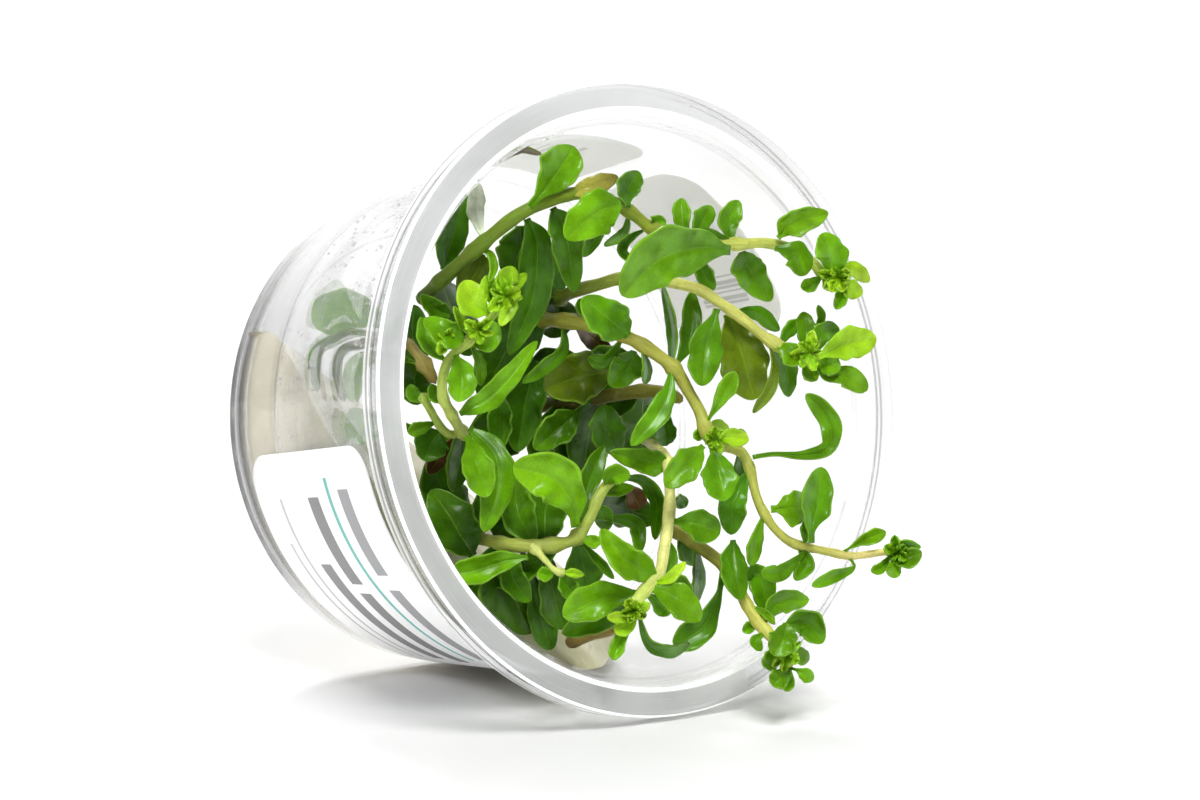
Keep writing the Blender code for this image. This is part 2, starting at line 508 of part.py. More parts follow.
def in_row_frame(point):
    return Vector((
        (point[0] + RIM_CENTRE_X) * MM,
        (point[1] + RIM_CENTRE_Y) * MM,
        (point[2] + RIM_CENTRE_Z) * MM,
    ))


def along_route(route, share):
    """A point of the smooth curve through the route's points, at this share of their count."""
    points = np.array(route, float)
    before = 2 * points[0] - points[1]
    after = 2 * points[-1] - points[-2]
    knots = np.vstack([before, points, after])
    place = min(max(share, 0.0), 1.0) * (len(points) - 1)
    first = min(int(place), len(points) - 2)
    t = place - first
    a, b, c, d = knots[first : first + 4]
    return 0.5 * (2 * b + (c - a) * t + (2 * a - 5 * b + 4 * c - d) * t**2 + (3 * b - 3 * c + d - a) * t**3)


# Cup, gel and labels


def place_in_cup(thing):
    """Turns a thing modelled standing, with the base of the cup at Z = 0, to lie with the cup."""
    out = cup_axes()[2]
    base = in_row_frame(-CUP_DEPTH * out)
    thing.location = base
    thing.rotation_euler = (math.pi / 2 - TIP_UP, 0.0, 0.0)


def turned(name, profile):
    """A solid of revolution from (radius, depth past the mouth) points."""
    mesh = bpy.data.meshes.new(name)
    points = [(radius * MM, 0.0, (CUP_DEPTH - depth) * MM) for radius, depth in profile]
    mesh.from_pydata(points, [(i, i + 1) for i in range(len(points) - 1)], [])
    thing = add_thing(name, mesh)
    screw = thing.modifiers.new("turn", "SCREW")
    screw.steps = CUP_FACETS
    screw.render_steps = CUP_FACETS
    screw.use_merge_vertices = True
    screw.merge_threshold = 0.00001
    screw.use_smooth_shade = True
    return thing


def make_cup():
    floor_depth = CUP_DEPTH - BASE_WALL - FOOT_HEIGHT
    foot_inner = WALL_BASE_RADIUS - BASE_EDGE_ROUND - FOOT_WIDTH
    edge = BASE_EDGE_ROUND
    profile = [
        (0.0, floor_depth),
        (inner_radius(floor_depth) - BASE_INNER_ROUND, floor_depth),
        (inner_radius(floor_depth), floor_depth - BASE_INNER_ROUND),
        (inner_radius(NECK_DEPTH), NECK_DEPTH),
        (LIP_RADIUS - LIP_STEP, LIP_STEP_DEPTH),
        (LIP_RADIUS, LIP_CORNER_DEPTH),
        (LIP_RADIUS + LIP_CORNER, 0.0),
        (RIM_RADIUS - RIM_CORNER, 0.0),
        (RIM_RADIUS, RIM_CORNER),
        (RIM_RADIUS, RIM_SKIRT_DEPTH),
        (RIM_RADIUS - RIM_WALL, RIM_SKIRT_DEPTH),
        (RIM_RADIUS - RIM_WALL, RIM_WALL),
        (outer_radius(NECK_FLARE_DEPTH) + NECK_FLARE, RIM_WALL),
        (outer_radius(NECK_OUTER_DEPTH), NECK_OUTER_DEPTH),
        (outer_radius(CUP_DEPTH - edge), CUP_DEPTH - edge),
        (WALL_BASE_RADIUS - edge, CUP_DEPTH),
        (foot_inner, CUP_DEPTH),
        (foot_inner - FOOT_HEIGHT, CUP_DEPTH - FOOT_HEIGHT),
        (0.0, CUP_DEPTH - FOOT_HEIGHT),
    ]
    cup = turned("cup", profile)
    place_in_cup(cup)
    give_look(cup, CUP_LOOK)


def make_gel(helpers):
    bottom = GEL_PROFILE[0][0] - GEL_BASE_GAP
    edge = bottom - GEL_BASE_CORNER_HEIGHT
    profile = [
        (0.0, GEL_PROFILE[-1][0]),
        (inner_radius(GEL_PROFILE[-1][0]) - GEL_GAP, GEL_PROFILE[-1][0]),
        (inner_radius(edge) - GEL_GAP, edge),
        (inner_radius(bottom) - GEL_GAP - GEL_BASE_CORNER, bottom),
        (0.0, bottom),
    ]
    gel = turned("gel", profile)
    place_in_cup(gel)
    give_look(gel, GEL_LOOK)
    slump = bpy.data.meshes.new("gel_slump")
    to_right, upward = math.sin(GEL_ROLL) * MM, math.cos(GEL_ROLL) * MM
    corners = [(height * to_right, height * upward, (CUP_DEPTH - depth) * MM) for depth, height in GEL_PROFILE]
    slump.from_pydata(corners, [], [list(range(len(corners)))])
    cutter = add_thing("gel_slump", slump)
    thicken = cutter.modifiers.new("thick", "SOLIDIFY")
    thicken.thickness = 4 * RIM_RADIUS * MM
    thicken.offset = 0.0
    place_in_cup(cutter)
    as_helper(cutter, helpers)
    add_boolean(gel, "INTERSECT", cutter)


def facet_radius(radius, degrees):
    """How far the flat facets of the cup are from its axis in this direction."""
    step = 360.0 / CUP_FACETS
    from_middle = (degrees - 90.0 + step) % step - step / 2
    return radius * math.cos(math.radians(step / 2)) / math.cos(math.radians(from_middle))


def label_columns(label, arc):
    """Shares across a label at its rounded corners and at each facet edge beneath it."""
    round_share = label.corner / arc
    shares = {0.0, 0.12 * round_share, 0.5 * round_share, round_share}
    shares |= {1 - share for share in shares}
    step = 360.0 / CUP_FACETS
    first = math.ceil((label.start - 90.0) / step)
    last = math.floor((label.end - 90.0) / step)
    for facet in range(first, last + 1):
        shares.add((facet * step + 90.0 - label.start) / (label.end - label.start))
    ordered = sorted(shares)
    return [a for a, b in zip(ordered, ordered[1:] + [2.0]) if b - a > 0.004]


def make_label(name, label):
    middle = outer_radius((label.upper + label.lower) / 2)
    arc = math.radians(label.end - label.start) * middle
    shares = label_columns(label, arc)
    bpy.ops.mesh.primitive_grid_add(x_subdivisions=len(shares) - 1, y_subdivisions=2, size=2.0)
    thing = bpy.context.object
    thing.name = name
    for vertex in thing.data.vertices:
        share = shares[round((vertex.co.x + 1) / 2 * (len(shares) - 1))]
        to_edge = min(share, 1 - share) * arc
        short = max(label.corner - to_edge, 0.0)
        cut = label.corner - math.sqrt(max(label.corner**2 - short**2, 0.0))
        half = (label.lower - label.upper) / 2 - cut
        depth = (label.lower + label.upper) / 2 + vertex.co.y * half
        degrees = label.start + share * (label.end - label.start)
        radius = facet_radius(outer_radius(depth) + LABEL_GAP + LABEL_THICK / 2, degrees)
        turn = math.radians(90.0 - degrees)
        vertex.co = Vector((
            radius * math.cos(turn) * MM, radius * math.sin(turn) * MM, (CUP_DEPTH - depth) * MM
        ))
    thicken = thing.modifiers.new("thick", "SOLIDIFY")
    thicken.thickness = LABEL_THICK * MM
    thicken.offset = 0.0
    place_in_cup(thing)
    give_look(thing, PAPER_LOOK)


# Plant


def blade_share(t, widest):
    """How wide a leaf is at this share of its length, as a share of its widest."""
    bend = math.log(0.5) / math.log(widest)
    full = math.sin(math.pi * t**bend) ** 0.75
    least = LEAF_STALK_SHARE if t < widest else LEAF_TIP_SHARE
    return max(full, least)


def leaf_point(spec, along, across):
    """A point of a leaf, from 0 at its stalk to 1 at its tip and from -1 to 1 across it."""
    t = 1 - (1 - along) ** LEAF_TAPER_BEND
    column, row, past = along_route(spec.route, t)
    ahead = along_route(spec.route, t + 0.02)
    behind = along_route(spec.route, t - 0.02)
    run, drop = ahead[0] - behind[0], ahead[1] - behind[1]
    length = math.hypot(run, drop)
    share = blade_share(t, spec.widest) * across
    distance = np.linalg.norm(seen_at(column, row, past) - view_point())
    half = spec.wide / 2 * PIXELS_PER_RADIAN / distance
    near = spec.lean * share + spec.fold * abs(share)
    return in_row_frame(seen_at(column - drop / length * half * share, row + run / length * half * share, past + near))


def leaf_grid(spec, most_rows):
    """How many faces across and along suit a leaf of this size."""
    places = np.array([seen_at(*place) for place in spec.route])
    length = np.linalg.norm(np.diff(places, axis=0), axis=1).sum()
    rows = min(max(2, round(length / LEAF_ROW_LENGTH) + 1), most_rows)
    flat = spec.wide < NARROW_LEAF or spec.fold == 0.0
    return (1 if flat else 2), rows


def make_leaf(name, spec, most_rows):
    across, rows = leaf_grid(spec, most_rows)
    bpy.ops.mesh.primitive_grid_add(x_subdivisions=across, y_subdivisions=rows, size=2.0)
    blade = bpy.context.object
    blade.name = name
    for vertex in blade.data.vertices:
        vertex.co = leaf_point(spec, (vertex.co.y + 1) / 2, vertex.co.x)
    blade.data.shade_smooth()
    thicken = blade.modifiers.new("thick", "SOLIDIFY")
    thicken.thickness = LEAF_THICK * MM
    thicken.offset = 0.0
    give_look(blade, LEAF_LOOK)
    return blade


def stem_steps(spec):
    """Places evenly spaced along the smooth route, as columns, rows and distances, with each one's share of the way."""
    fine = np.array([along_route(spec.route, i / 200) for i in range(201)])
    places = np.array([seen_at(*place) for place in fine])
    run = np.concatenate([[0.0], np.cumsum(np.linalg.norm(np.diff(places, axis=0), axis=1))])
    count = max(4, round(run[-1] / STEM_POINT_SPACING) + 1)
    wanted = np.linspace(0.0, run[-1], count)
    even = np.stack([np.interp(wanted, run, fine[:, axis]) for axis in range(3)], axis=1)
    return even, wanted / run[-1]


def make_stem_tube(name, spec):
    """A tapering round stem as a mesh, swept along its route."""
    places, shares = stem_steps(spec)
    data = bpy.data.curves.new(name, "CURVE")
    data.dimensions = "3D"
    data.bevel_depth = spec.thick / 2 * MM
    data.bevel_resolution = 1
    data.use_fill_caps = True
    spline = data.splines.new("POLY")
    spline.points.add(len(places) - 1)
    for point, place, share in zip(spline.points, places, shares):
        point.co = (*in_row_frame(seen_at(*place)), 1.0)
        point.radius = 1 + (spec.tip_thick / spec.thick - 1) * share
    curve = add_thing(name, data)
    bpy.context.view_layer.update()
    mesh = bpy.data.meshes.new_from_object(curve.evaluated_get(bpy.context.evaluated_depsgraph_get()))
    bpy.data.objects.remove(curve, do_unlink=True)
    work = bmesh.new()
    work.from_mesh(mesh)
    bmesh.ops.remove_doubles(work, verts=work.verts, dist=0.00001)
    bmesh.ops.recalc_face_normals(work, faces=work.faces)
    work.to_mesh(mesh)
    work.free()
    mesh.shade_smooth()
    return add_thing(name, mesh)


def rooted(spec, stems):
    """The leaf moved so that it starts on the centreline of the nearest stem."""
    wanted = np.array(spec.route[0])
    places = []
    for grown in stems:
        steps = stem_steps(grown)[0]
        for start, end in zip(steps, steps[1:]):
            places += [start + (end - start) * i / 12 for i in range(13)]
    nearest = min(places, key=lambda place: np.linalg.norm(place[:2] - wanted[:2]))
    return spec._replace(route=(tuple(nearest), *spec.route[1:]))


def make_stem(name, specs, leaves):
    """A stem, its side stems and the leaves that are one piece with it."""
    grown = new_collection(name + "_grown")
    first = make_stem_tube(name, specs[0])
    for number, side in enumerate(specs[1:]):
        as_helper(make_stem_tube(f"{name}_side_{number + 1}", side), grown)
    for number, spec in enumerate(leaves):
        as_helper(make_leaf(f"{name}_leaf_{number + 1}", rooted(spec, specs), MOST_FUSED_LEAF_ROWS), grown)
    if grown.objects:
        join = first.modifiers.new("grown", "BOOLEAN")
        join.operation = "UNION"
        join.solver = "EXACT"
        join.operand_type = "COLLECTION"
        join.collection = grown
        join.use_self = True
    give_look(first, BROWN_LOOK if "brown" in name else STEM_LOOK)


def main():
    clear_scene()
    make_home("plant_in_cup")
    helpers = new_collection("helpers")
    make_cup()
    make_gel(helpers)
    for name, label in LABELS.items():
        make_label(name, label)
    for name, specs in STEMS.items():
        make_stem(name, specs, STEM_LEAVES.get(name, []))
    for name, spec in LEAVES.items():
        make_leaf(name, spec, MOST_LEAF_ROWS)


main()
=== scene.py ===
import math

import bpy
import numpy as np
from mathutils import Matrix, Vector


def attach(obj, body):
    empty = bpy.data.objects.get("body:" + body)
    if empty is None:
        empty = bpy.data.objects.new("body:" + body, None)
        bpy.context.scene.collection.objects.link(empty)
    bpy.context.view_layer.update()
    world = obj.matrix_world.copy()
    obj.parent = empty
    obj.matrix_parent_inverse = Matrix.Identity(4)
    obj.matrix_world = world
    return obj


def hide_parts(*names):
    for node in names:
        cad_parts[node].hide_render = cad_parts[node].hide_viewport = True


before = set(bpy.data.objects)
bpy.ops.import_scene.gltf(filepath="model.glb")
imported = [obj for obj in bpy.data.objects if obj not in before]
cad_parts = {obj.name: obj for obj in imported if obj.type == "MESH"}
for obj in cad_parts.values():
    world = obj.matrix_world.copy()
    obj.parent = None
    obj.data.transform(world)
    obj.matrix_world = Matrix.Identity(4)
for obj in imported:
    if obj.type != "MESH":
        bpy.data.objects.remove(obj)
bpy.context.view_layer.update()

mm = 0.001
fullTurn = 2 * math.pi

cup = {
    "depth": 62.9,  # mm, as all sizes here: along the cup's axis or out from it
    "rimRadius": 50.0,
    "rimSkirt": 4.5,  # how far the rim turns down
    "rimWall": 0.9,
    "lipRadius": 45.0,
    "wallTop": 44.77,  # the wall's outer radius at the mouth and at the base
    "wallBase": 39.72,
    "wall": 0.8,
    "baseWall": 1.0,
    "baseRound": 1.5,
    "baseBand": 59.4,  # mm past the mouth, where the thick edge of the base starts to show
    "footWidth": 5.0,
    "footHeight": 0.6,
    "groove": (45.6, 46.0, 46.6, 47.0),  # mm past the mouth: the step round the inside of the wall
    "grooveDepth": 0.12,
    "frameFacets": 42,  # the frame's cup has flats, and the round one touches them from inside
    "sides": 192,
}
toFlat = math.cos(math.pi / cup["frameFacets"])


def outerRadius(depth):
    return cup["wallTop"] + (cup["wallBase"] - cup["wallTop"]) * depth / cup["depth"]


def innerRadius(depth):
    return outerRadius(depth) - cup["wall"]


restDepth = cup["depth"] - cup["baseRound"]
tipUp = math.atan2((cup["rimRadius"] - outerRadius(restDepth)) * toFlat, restDepth - cup["rimSkirt"])
mouthMiddle = np.array([
    0.0,
    -22.05,
    cup["rimRadius"] * toFlat * math.cos(tipUp) + cup["rimSkirt"] * math.sin(tipUp),
])
across = np.array([1.0, 0.0, 0.0])
upRim = np.array([0.0, math.sin(tipUp), math.cos(tipUp)])
outOfMouth = np.array([0.0, -math.cos(tipUp), math.sin(tipUp)])

view = {
    "azimuth": math.radians(-35.94),
    "elevation": math.radians(7.27),
    "distance": 600.0,  # mm from the middle of the mouth
    "aside": 7.58,  # mm that the camera stands to the left of the mouth's middle, and below it
    "raised": 0.30,
    "pixelsPerRadian": 3835.5,
    "middle": (600.0, 400.0),  # of the photo, in pixels
    "width": 1200,
    "sensor": 36.0,
}
viewBack = np.array([
    math.sin(view["azimuth"]) * math.cos(view["elevation"]),
    -math.cos(view["azimuth"]) * math.cos(view["elevation"]),
    math.sin(view["elevation"]),
])
viewRight = np.array([math.cos(view["azimuth"]), math.sin(view["azimuth"]), 0.0])
viewUp = np.cross(viewBack, viewRight)
eye = viewBack * view["distance"] - viewRight * view["aside"] - viewUp * view["raised"]


def seenAt(places):
    # rows of (photo column, photo row, mm past the rim plane) become mm from the middle of the mouth
    places = np.atleast_2d(np.array(places, float))
    aside = (places[:, 0:1] - view["middle"][0]) / view["pixelsPerRadian"]
    above = (view["middle"][1] - places[:, 1:2]) / view["pixelsPerRadian"]
    rays = aside * viewRight + above * viewUp - viewBack
    reach = (places[:, 2] - eye @ outOfMouth) / (rays @ outOfMouth)
    return eye + reach[:, None] * rays


def inFrame(points):
    return (np.atleast_2d(points) + mouthMiddle) * mm


def inCup(degrees, depth, radius):
    # degrees round the cup from its top, depth past the mouth, distance from the axis
    turn = math.radians(degrees)
    point = -outOfMouth * depth + radius * (math.cos(turn) * upRim + math.sin(turn) * across)
    return Vector(inFrame(point)[0])


def alongRoute(route, shares):
    points = np.array(route, float)
    knots = np.vstack([2 * points[0] - points[1], points, 2 * points[-1] - points[-2]])
    place = np.clip(shares, 0.0, 1.0) * (len(points) - 1)
    first = np.minimum(place.astype(int), len(points) - 2)
    t = (place - first)[:, None]
    a, b, c, d = (knots[first + i] for i in range(4))
    return 0.5 * (2 * b + (c - a) * t + (2 * a - 5 * b + 4 * c - d) * t**2 + (3 * b - 3 * c + d - a) * t**3)


class Wire:
    # a node's output that takes + - * / and ** in a plain expression
    def __init__(self, skin, socket):
        self.skin = skin
        self.socket = socket

    def maths(self, operation, first, second=0.0):
        return self.skin.node("ShaderNodeMath", {"operation": operation}, {0: first, 1: second})

    def __add__(self, other):
        return self.maths("ADD", self, other)

    def __radd__(self, other):
        return self.maths("ADD", other, self)

    def __sub__(self, other):
        return self.maths("SUBTRACT", self, other)

    def __rsub__(self, other):
        return self.maths("SUBTRACT", other, self)

    def __mul__(self, other):
        return self.maths("MULTIPLY", self, other)

    def __rmul__(self, other):
        return self.maths("MULTIPLY", other, self)

    def __truediv__(self, other):
        return self.maths("DIVIDE", self, other)

    def size(self):
        return self.maths("ABSOLUTE", self)

    def above(self, level):
        return self.maths("GREATER_THAN", self, level)

    def wave(self):
        return self.maths("SINE", self)

    def ramp(self, low, high, start=0.0, end=1.0):
        return self.skin.node(
            "ShaderNodeMapRange", {"interpolation_type": "SMOOTHSTEP"}, {0: self, 1: low, 2: high, 3: start, 4: end}
        )


class Skin:
    def __init__(self, name, **fixed):
        self.material = bpy.data.materials.new(name)
        self.material.use_nodes = True
        self.tree = self.material.node_tree
        self.shader = self.tree.nodes["Principled BSDF"]
        for socket, value in fixed.items():
            self.shader.inputs[socket.replace("_", " ")].default_value = value

    def node(self, kind, settings=None, sockets=None, output=0):
        made = self.tree.nodes.new(kind)
        for setting, value in (settings or {}).items():
            setattr(made, setting, value)
        for socket, value in (sockets or {}).items():
            if isinstance(value, Wire):
                self.tree.links.new(value.socket, made.inputs[socket])
            else:
                made.inputs[socket].default_value = value
        return Wire(self, made.outputs[output])

    def place(self):
        return self.node("ShaderNodeTexCoord", output=3)

    def carried(self, name, output=1):
        return self.node("ShaderNodeAttribute", {"attribute_name": name}, output=output)

    def noise(self, scale, detail=2.0, place=None):
        sockets = {"Vector": place or self.place(), "Scale": scale, "Detail": detail}
        return self.node("ShaderNodeTexNoise", None, sockets)

    def mix(self, share, first, second):
        return self.node("ShaderNodeMix", {"data_type": "RGBA"}, {0: share, 6: first, 7: second}, output=2)

    def dim(self, colour, amount):
        # colour times a number that changes over the surface
        return self.node("ShaderNodeVectorMath", {"operation": "SCALE"}, {0: colour, 3: amount})

    def split(self, vector):
        made = self.node("ShaderNodeSeparateXYZ", None, {0: vector}).socket.node
        return [Wire(self, made.outputs[i]) for i in range(3)]

    def join(self, x, y, z):
        return self.node("ShaderNodeCombineXYZ", None, {0: x, 1: y, 2: z})

    def feed(self, socket, value):
        self.tree.links.new(value.socket, self.shader.inputs[socket])

    def bump(self, height, strength, distance):
        sockets = {"Height": height, "Strength": strength, "Distance": distance}
        self.feed("Normal", self.node("ShaderNodeBump", None, sockets))


def colour(red, green, blue):
    return (red, green, blue, 1.0)


leafFinish = {
    "dullest": 0.38,
    "glossiest": 0.22,
    "shine": 0.15,  # how much of the room a leaf mirrors
    "wet": (0.02, 0.24),
    "margin": colour(0.30, 0.56, 0.05),
    "rib": colour(0.26, 0.50, 0.04),
    "veins": 9.0,  # on each side
    "veinSlant": 2.2,
}


def makeLeafSkin():
    skin = Skin("leaf", IOR=1.42, Coat_Roughness=0.16, Specular_IOR_Level=leafFinish["shine"])
    side, along, chance = skin.split(skin.carried("blade"))
    tint = skin.carried("tint", 0)
    patches = skin.noise(300.0, 1.0)
    fine = skin.noise(2600.0, 0.0)
    rib = 1.0 - side.size().ramp(0.012, 0.06)
    margin = side.size().ramp(0.9, 1.0)
    turns = along * leafFinish["veins"] - side.size() * leafFinish["veinSlant"] + chance
    veins = (turns * fullTurn).wave().ramp(0.8, 1.0)
    body = skin.dim(tint, patches.ramp(0.3, 0.7, 0.78, 1.2))
    body = skin.mix(veins * 0.04 * (1.0 - margin), body, leafFinish["rib"])
    body = skin.mix(rib * 0.2, body, leafFinish["rib"])
    body = skin.mix(margin * 0.32, body, leafFinish["margin"])
    skin.feed("Base Color", skin.dim(body, fine.ramp(0.2, 0.8, 0.93, 1.07)))
    skin.feed("Roughness", patches * (leafFinish["dullest"] - leafFinish["glossiest"]) + leafFinish["glossiest"])
    skin.feed("Coat Weight", patches.ramp(0.35, 0.65, *leafFinish["wet"]))
    skin.bump(fine * 0.3 + patches * 0.9 - rib * 1.0 - veins * 0.12, 0.5, 0.00012)
    return skin.material


stemFinish = {
    "glossiest": 0.28,
    "blemish": colour(0.16, 0.12, 0.03),
    "pale": colour(0.52, 0.58, 0.22),
}


def makeStemSkin():
    skin = Skin("stem", IOR=1.42, Specular_IOR_Level=0.3)
    around, along, chance = skin.split(skin.carried("blade"))
    tint = skin.carried("tint", 0)
    streak = skin.noise(1.0, 3.0, skin.join((around * fullTurn).wave() * 5.0, along * 0.35, chance * 9.0))
    patches = skin.noise(520.0, 3.0)
    fine = skin.noise(2400.0, 2.0)
    body = skin.dim(tint, streak.ramp(0.3, 0.7, 0.84, 1.16))
    body = skin.mix(patches.ramp(0.55, 0.75) * 0.3, body, stemFinish["blemish"])
    body = skin.mix(patches.ramp(0.42, 0.2) * 0.22, body, stemFinish["pale"])
    skin.feed("Base Color", skin.dim(body, fine.ramp(0.2, 0.8, 0.94, 1.06)))
    skin.feed("Roughness", patches * 0.2 + stemFinish["glossiest"])
    skin.bump(streak * 0.8 + fine * 0.3, 0.45, 0.00012)
    return skin.material


plastic = {
    "wall": colour(0.97, 0.975, 0.975),
    "wallSolid": (0.36, 0.12),  # the share of rays that meet the wall at all, on the misted left and on the clear right
    "clearing": (-0.018, 0.012),  # metres across, where the one gives way to the other
    "rings": ((45.7, 0.25), (47.0, 0.2), (3.2, 0.35)),  # mm past the mouth, half width, of painted grey lines of shade at the wall's step and near the mouth
    "ringShadeGrey": colour(0.25, 0.26, 0.26),
    "corner": (55.5, 58.0),  # mm past the mouth, where painted shade turns the wall grey toward the base
    "cornerFar": (-0.034, -0.012),  # metres across, where that ends
    "cornerShadeGrey": colour(0.42, 0.42, 0.42),
    "baseFar": (-0.038, -0.014),
    "baseLow": (0.006, 0.02),  # metres above the floor, where the dark of the base's edge starts
    "baseDark": colour(0.04, 0.04, 0.04),
    "basePale": colour(0.8, 0.8, 0.8),
    # the rim's greys are its cloudy plastic and painted shade, strongest on the left; its dark line is painted shade
    # and its white lines are painted highlights
    "rimFar": (-0.020, 0.045),
    "rimGreysAndShade": (colour(0.46, 0.47, 0.47), colour(0.54, 0.55, 0.55)),
    "rimShadeLine": colour(0.12, 0.12, 0.12),
    "rimHighlight": colour(0.95, 0.95, 0.95),
    "scratch": colour(0.9, 0.9, 0.9),
}


def makeClearSkin():
    skin = Skin("clear", Roughness=0.02, IOR=1.49, Transmission_Weight=1.0)
    depth, _, _ = skin.split(skin.carried("turned"))
    across, _, _ = skin.split(skin.place())
    flow = skin.noise(60.0, 1.0)
    solid = across.ramp(*plastic["clearing"], *plastic["wallSolid"])
    # painted shade: grey lines where the wall's step and the mouth's edge would show dark in the light
    line = 0.0
    for middle, half in plastic["rings"]:
        line = (depth - middle).size().ramp(half * 1.6, half * 0.6) * 0.6 + line
    # painted shade: the wall greys toward the base on the left side only
    corner = depth.ramp(*plastic["corner"]) * across.ramp(*plastic["cornerFar"], 1.0, 0.0)
    wall = skin.mix(corner, plastic["wall"], plastic["cornerShadeGrey"])
    skin.feed("Base Color", skin.mix(line, wall, plastic["ringShadeGrey"]))
    skin.feed("Alpha", line * 0.5 + solid + corner * 0.35)
    skin.feed("Roughness", flow.ramp(0.3, 0.8, 0.01, 0.03))
    return skin.material


def makeBaseEdgeSkin():
    # the thick round edge of the base, dark on the side that the light does not come from
    skin = Skin("baseEdge", IOR=1.49, Transmission_Weight=0.2, Specular_IOR_Level=0.3)
    across, _, high = skin.split(skin.place())
    streak = skin.noise(260.0, 2.0)
    depth, _, _ = skin.split(skin.carried("turned"))
    left = across.ramp(*plastic["baseFar"], 1.0, 0.0) * high.ramp(*plastic["baseLow"])
    left = left * depth.ramp(cup["baseBand"] - 0.2, cup["baseBand"] + 2.2, 0.55, 1.0)
    darkness = left * streak.ramp(0.3, 0.65, 0.85, 1.0)
    skin.feed("Base Color", skin.mix(darkness, plastic["basePale"], plastic["baseDark"]))
    skin.feed("Alpha", left * 0.7 + 0.18)
    skin.feed("Roughness", streak.ramp(0.3, 0.7, 0.08, 0.2))
    skin.bump(streak, 0.1, 0.00005)
    return skin.material


mistFinish = {
    "speckScale": 2300.0,  # specks in a metre
    "speck": colour(0.60, 0.62, 0.61),
    "veil": colour(0.10, 0.11, 0.105),
    "least": 0.06,  # of the veil's cover
}


def makeMistSkin():
    # a thin film of damp: a grey veil with fine specks
    skin = Skin("mist", Specular_IOR_Level=0.2)
    side, along, _ = skin.split(skin.carried("film"))
    sockets = {"Vector": skin.place(), "Scale": mistFinish["speckScale"]}
    cells = skin.node("ShaderNodeTexVoronoi", {"feature": "F1"}, sockets)
    cloud = skin.noise(110.0, 3.0).ramp(0.32, 0.68)
    fade = side.size().ramp(0.98, 0.55) * along.ramp(0.0, 0.12) * along.ramp(1.0, 0.8)
    specks = cells.ramp(0.34, 0.22)
    skin.feed("Base Color", skin.mix(cells.ramp(0.05, 0.2), mistFinish["speck"], mistFinish["veil"]))
    skin.feed("Alpha", fade * (cloud * 0.16 + cloud * specks * 0.5 + mistFinish["least"]))
    skin.feed("Roughness", cloud.ramp(0.0, 1.0, 0.4, 0.6))
    return skin.material


def makeRimSkin():
    # the flat ring and its skirt: cloudy plastic with painted grey shade on the side toward the viewer, nearly unseen
    # on the far side, with painted white highlights and a painted dark line
    skin = Skin("rim", IOR=1.49, Specular_IOR_Level=0.3, Emission_Strength=1.0)
    depth, radius, _ = skin.split(skin.carried("turned"))
    across, _, _ = skin.split(skin.place())
    near = across.ramp(*plastic["rimFar"], 1.0, 0.0)
    flow = skin.noise(50.0, 2.0)
    scratch = skin.noise(1.0, 2.0, skin.join(radius * 0.1, radius * 6.0, flow * 8.0))
    lip = 1.0 - radius.ramp(cup["lipRadius"] + 0.9, cup["lipRadius"] + 1.2)
    corner = (radius - (cup["rimRadius"] - 0.15)).size().ramp(0.3, 0.12) * depth.ramp(0.7, 0.4)
    foot = depth.ramp(cup["rimSkirt"] - 0.5, cup["rimSkirt"] - 0.3)
    # a painted line of shade across the skirt
    dark = (depth - (cup["rimSkirt"] - 1.1)).size().ramp(0.4, 0.15)
    skirt = depth.above(0.85)
    body = skin.mix(flow.ramp(0.3, 0.7), *plastic["rimGreysAndShade"])
    body = skin.mix(scratch.ramp(0.6, 0.75) * 0.2, body, plastic["scratch"])
    body = skin.mix(dark, body, plastic["rimShadeLine"])
    # painted highlights: white along the lip, the rim's outer corner and the skirt's foot
    white = skin.node("ShaderNodeMath", {"operation": "MAXIMUM"}, {0: lip, 1: corner})
    white = skin.node("ShaderNodeMath", {"operation": "MAXIMUM"}, {0: white, 1: foot})
    skin.feed("Base Color", skin.mix(white, body, plastic["rimHighlight"]))
    skin.feed("Alpha", (near * 0.62 + 0.12) * (1.0 - skirt * 0.7) + white * 0.25 + dark * 0.45)
    # painted highlight glow: the white lines glow on the near side
    skin.feed("Emission Color", skin.dim((0.5, 0.5, 0.5), white * near))
    skin.feed("Roughness", flow.ramp(0.3, 0.7, 0.14, 0.2))
    skin.bump(scratch, 0.05, 0.00002)
    return skin.material


gelFinish = {
    "creams": (colour(0.68, 0.62, 0.43), colour(0.84, 0.79, 0.62)),
    "bubbleScale": 620.0,  # bubbles in a metre
    "bubble": colour(0.86, 0.83, 0.68),
    "grain": colour(0.40, 0.36, 0.20),
    "shaded": colour(0.36, 0.36, 0.16),  # under the plant, toward the mouth
    "shadeEnds": (0.004, 0.022),  # metres back
}


def makeGelSkin():
    skin = Skin("gel", IOR=1.34, Specular_IOR_Level=0.3)
    patches = skin.noise(70.0, 3.0)
    fine = skin.noise(1400.0, 2.0)
    sockets = {"Vector": skin.place(), "Scale": gelFinish["bubbleScale"], "Randomness": 1.0}
    spots = skin.node("ShaderNodeTexVoronoi", {"feature": "F1"}, sockets).ramp(0.2, 0.12)
    body = skin.mix(patches.ramp(0.35, 0.65), *gelFinish["creams"])
    body = skin.mix(spots * 0.45, body, gelFinish["bubble"])
    body = skin.mix(fine.ramp(0.6, 0.8) * 0.3, body, gelFinish["grain"])
    _, back, _ = skin.split(skin.place())
    skin.feed("Base Color", skin.mix(back.ramp(*gelFinish["shadeEnds"], 0.6, 0.0), body, gelFinish["shaded"]))
    skin.feed("Roughness", patches.ramp(0.3, 0.7, 0.2, 0.36))
    skin.bump(patches * 2.0 + spots * 0.4 + fine * 0.2, 0.5, 0.0004)
    return skin.material


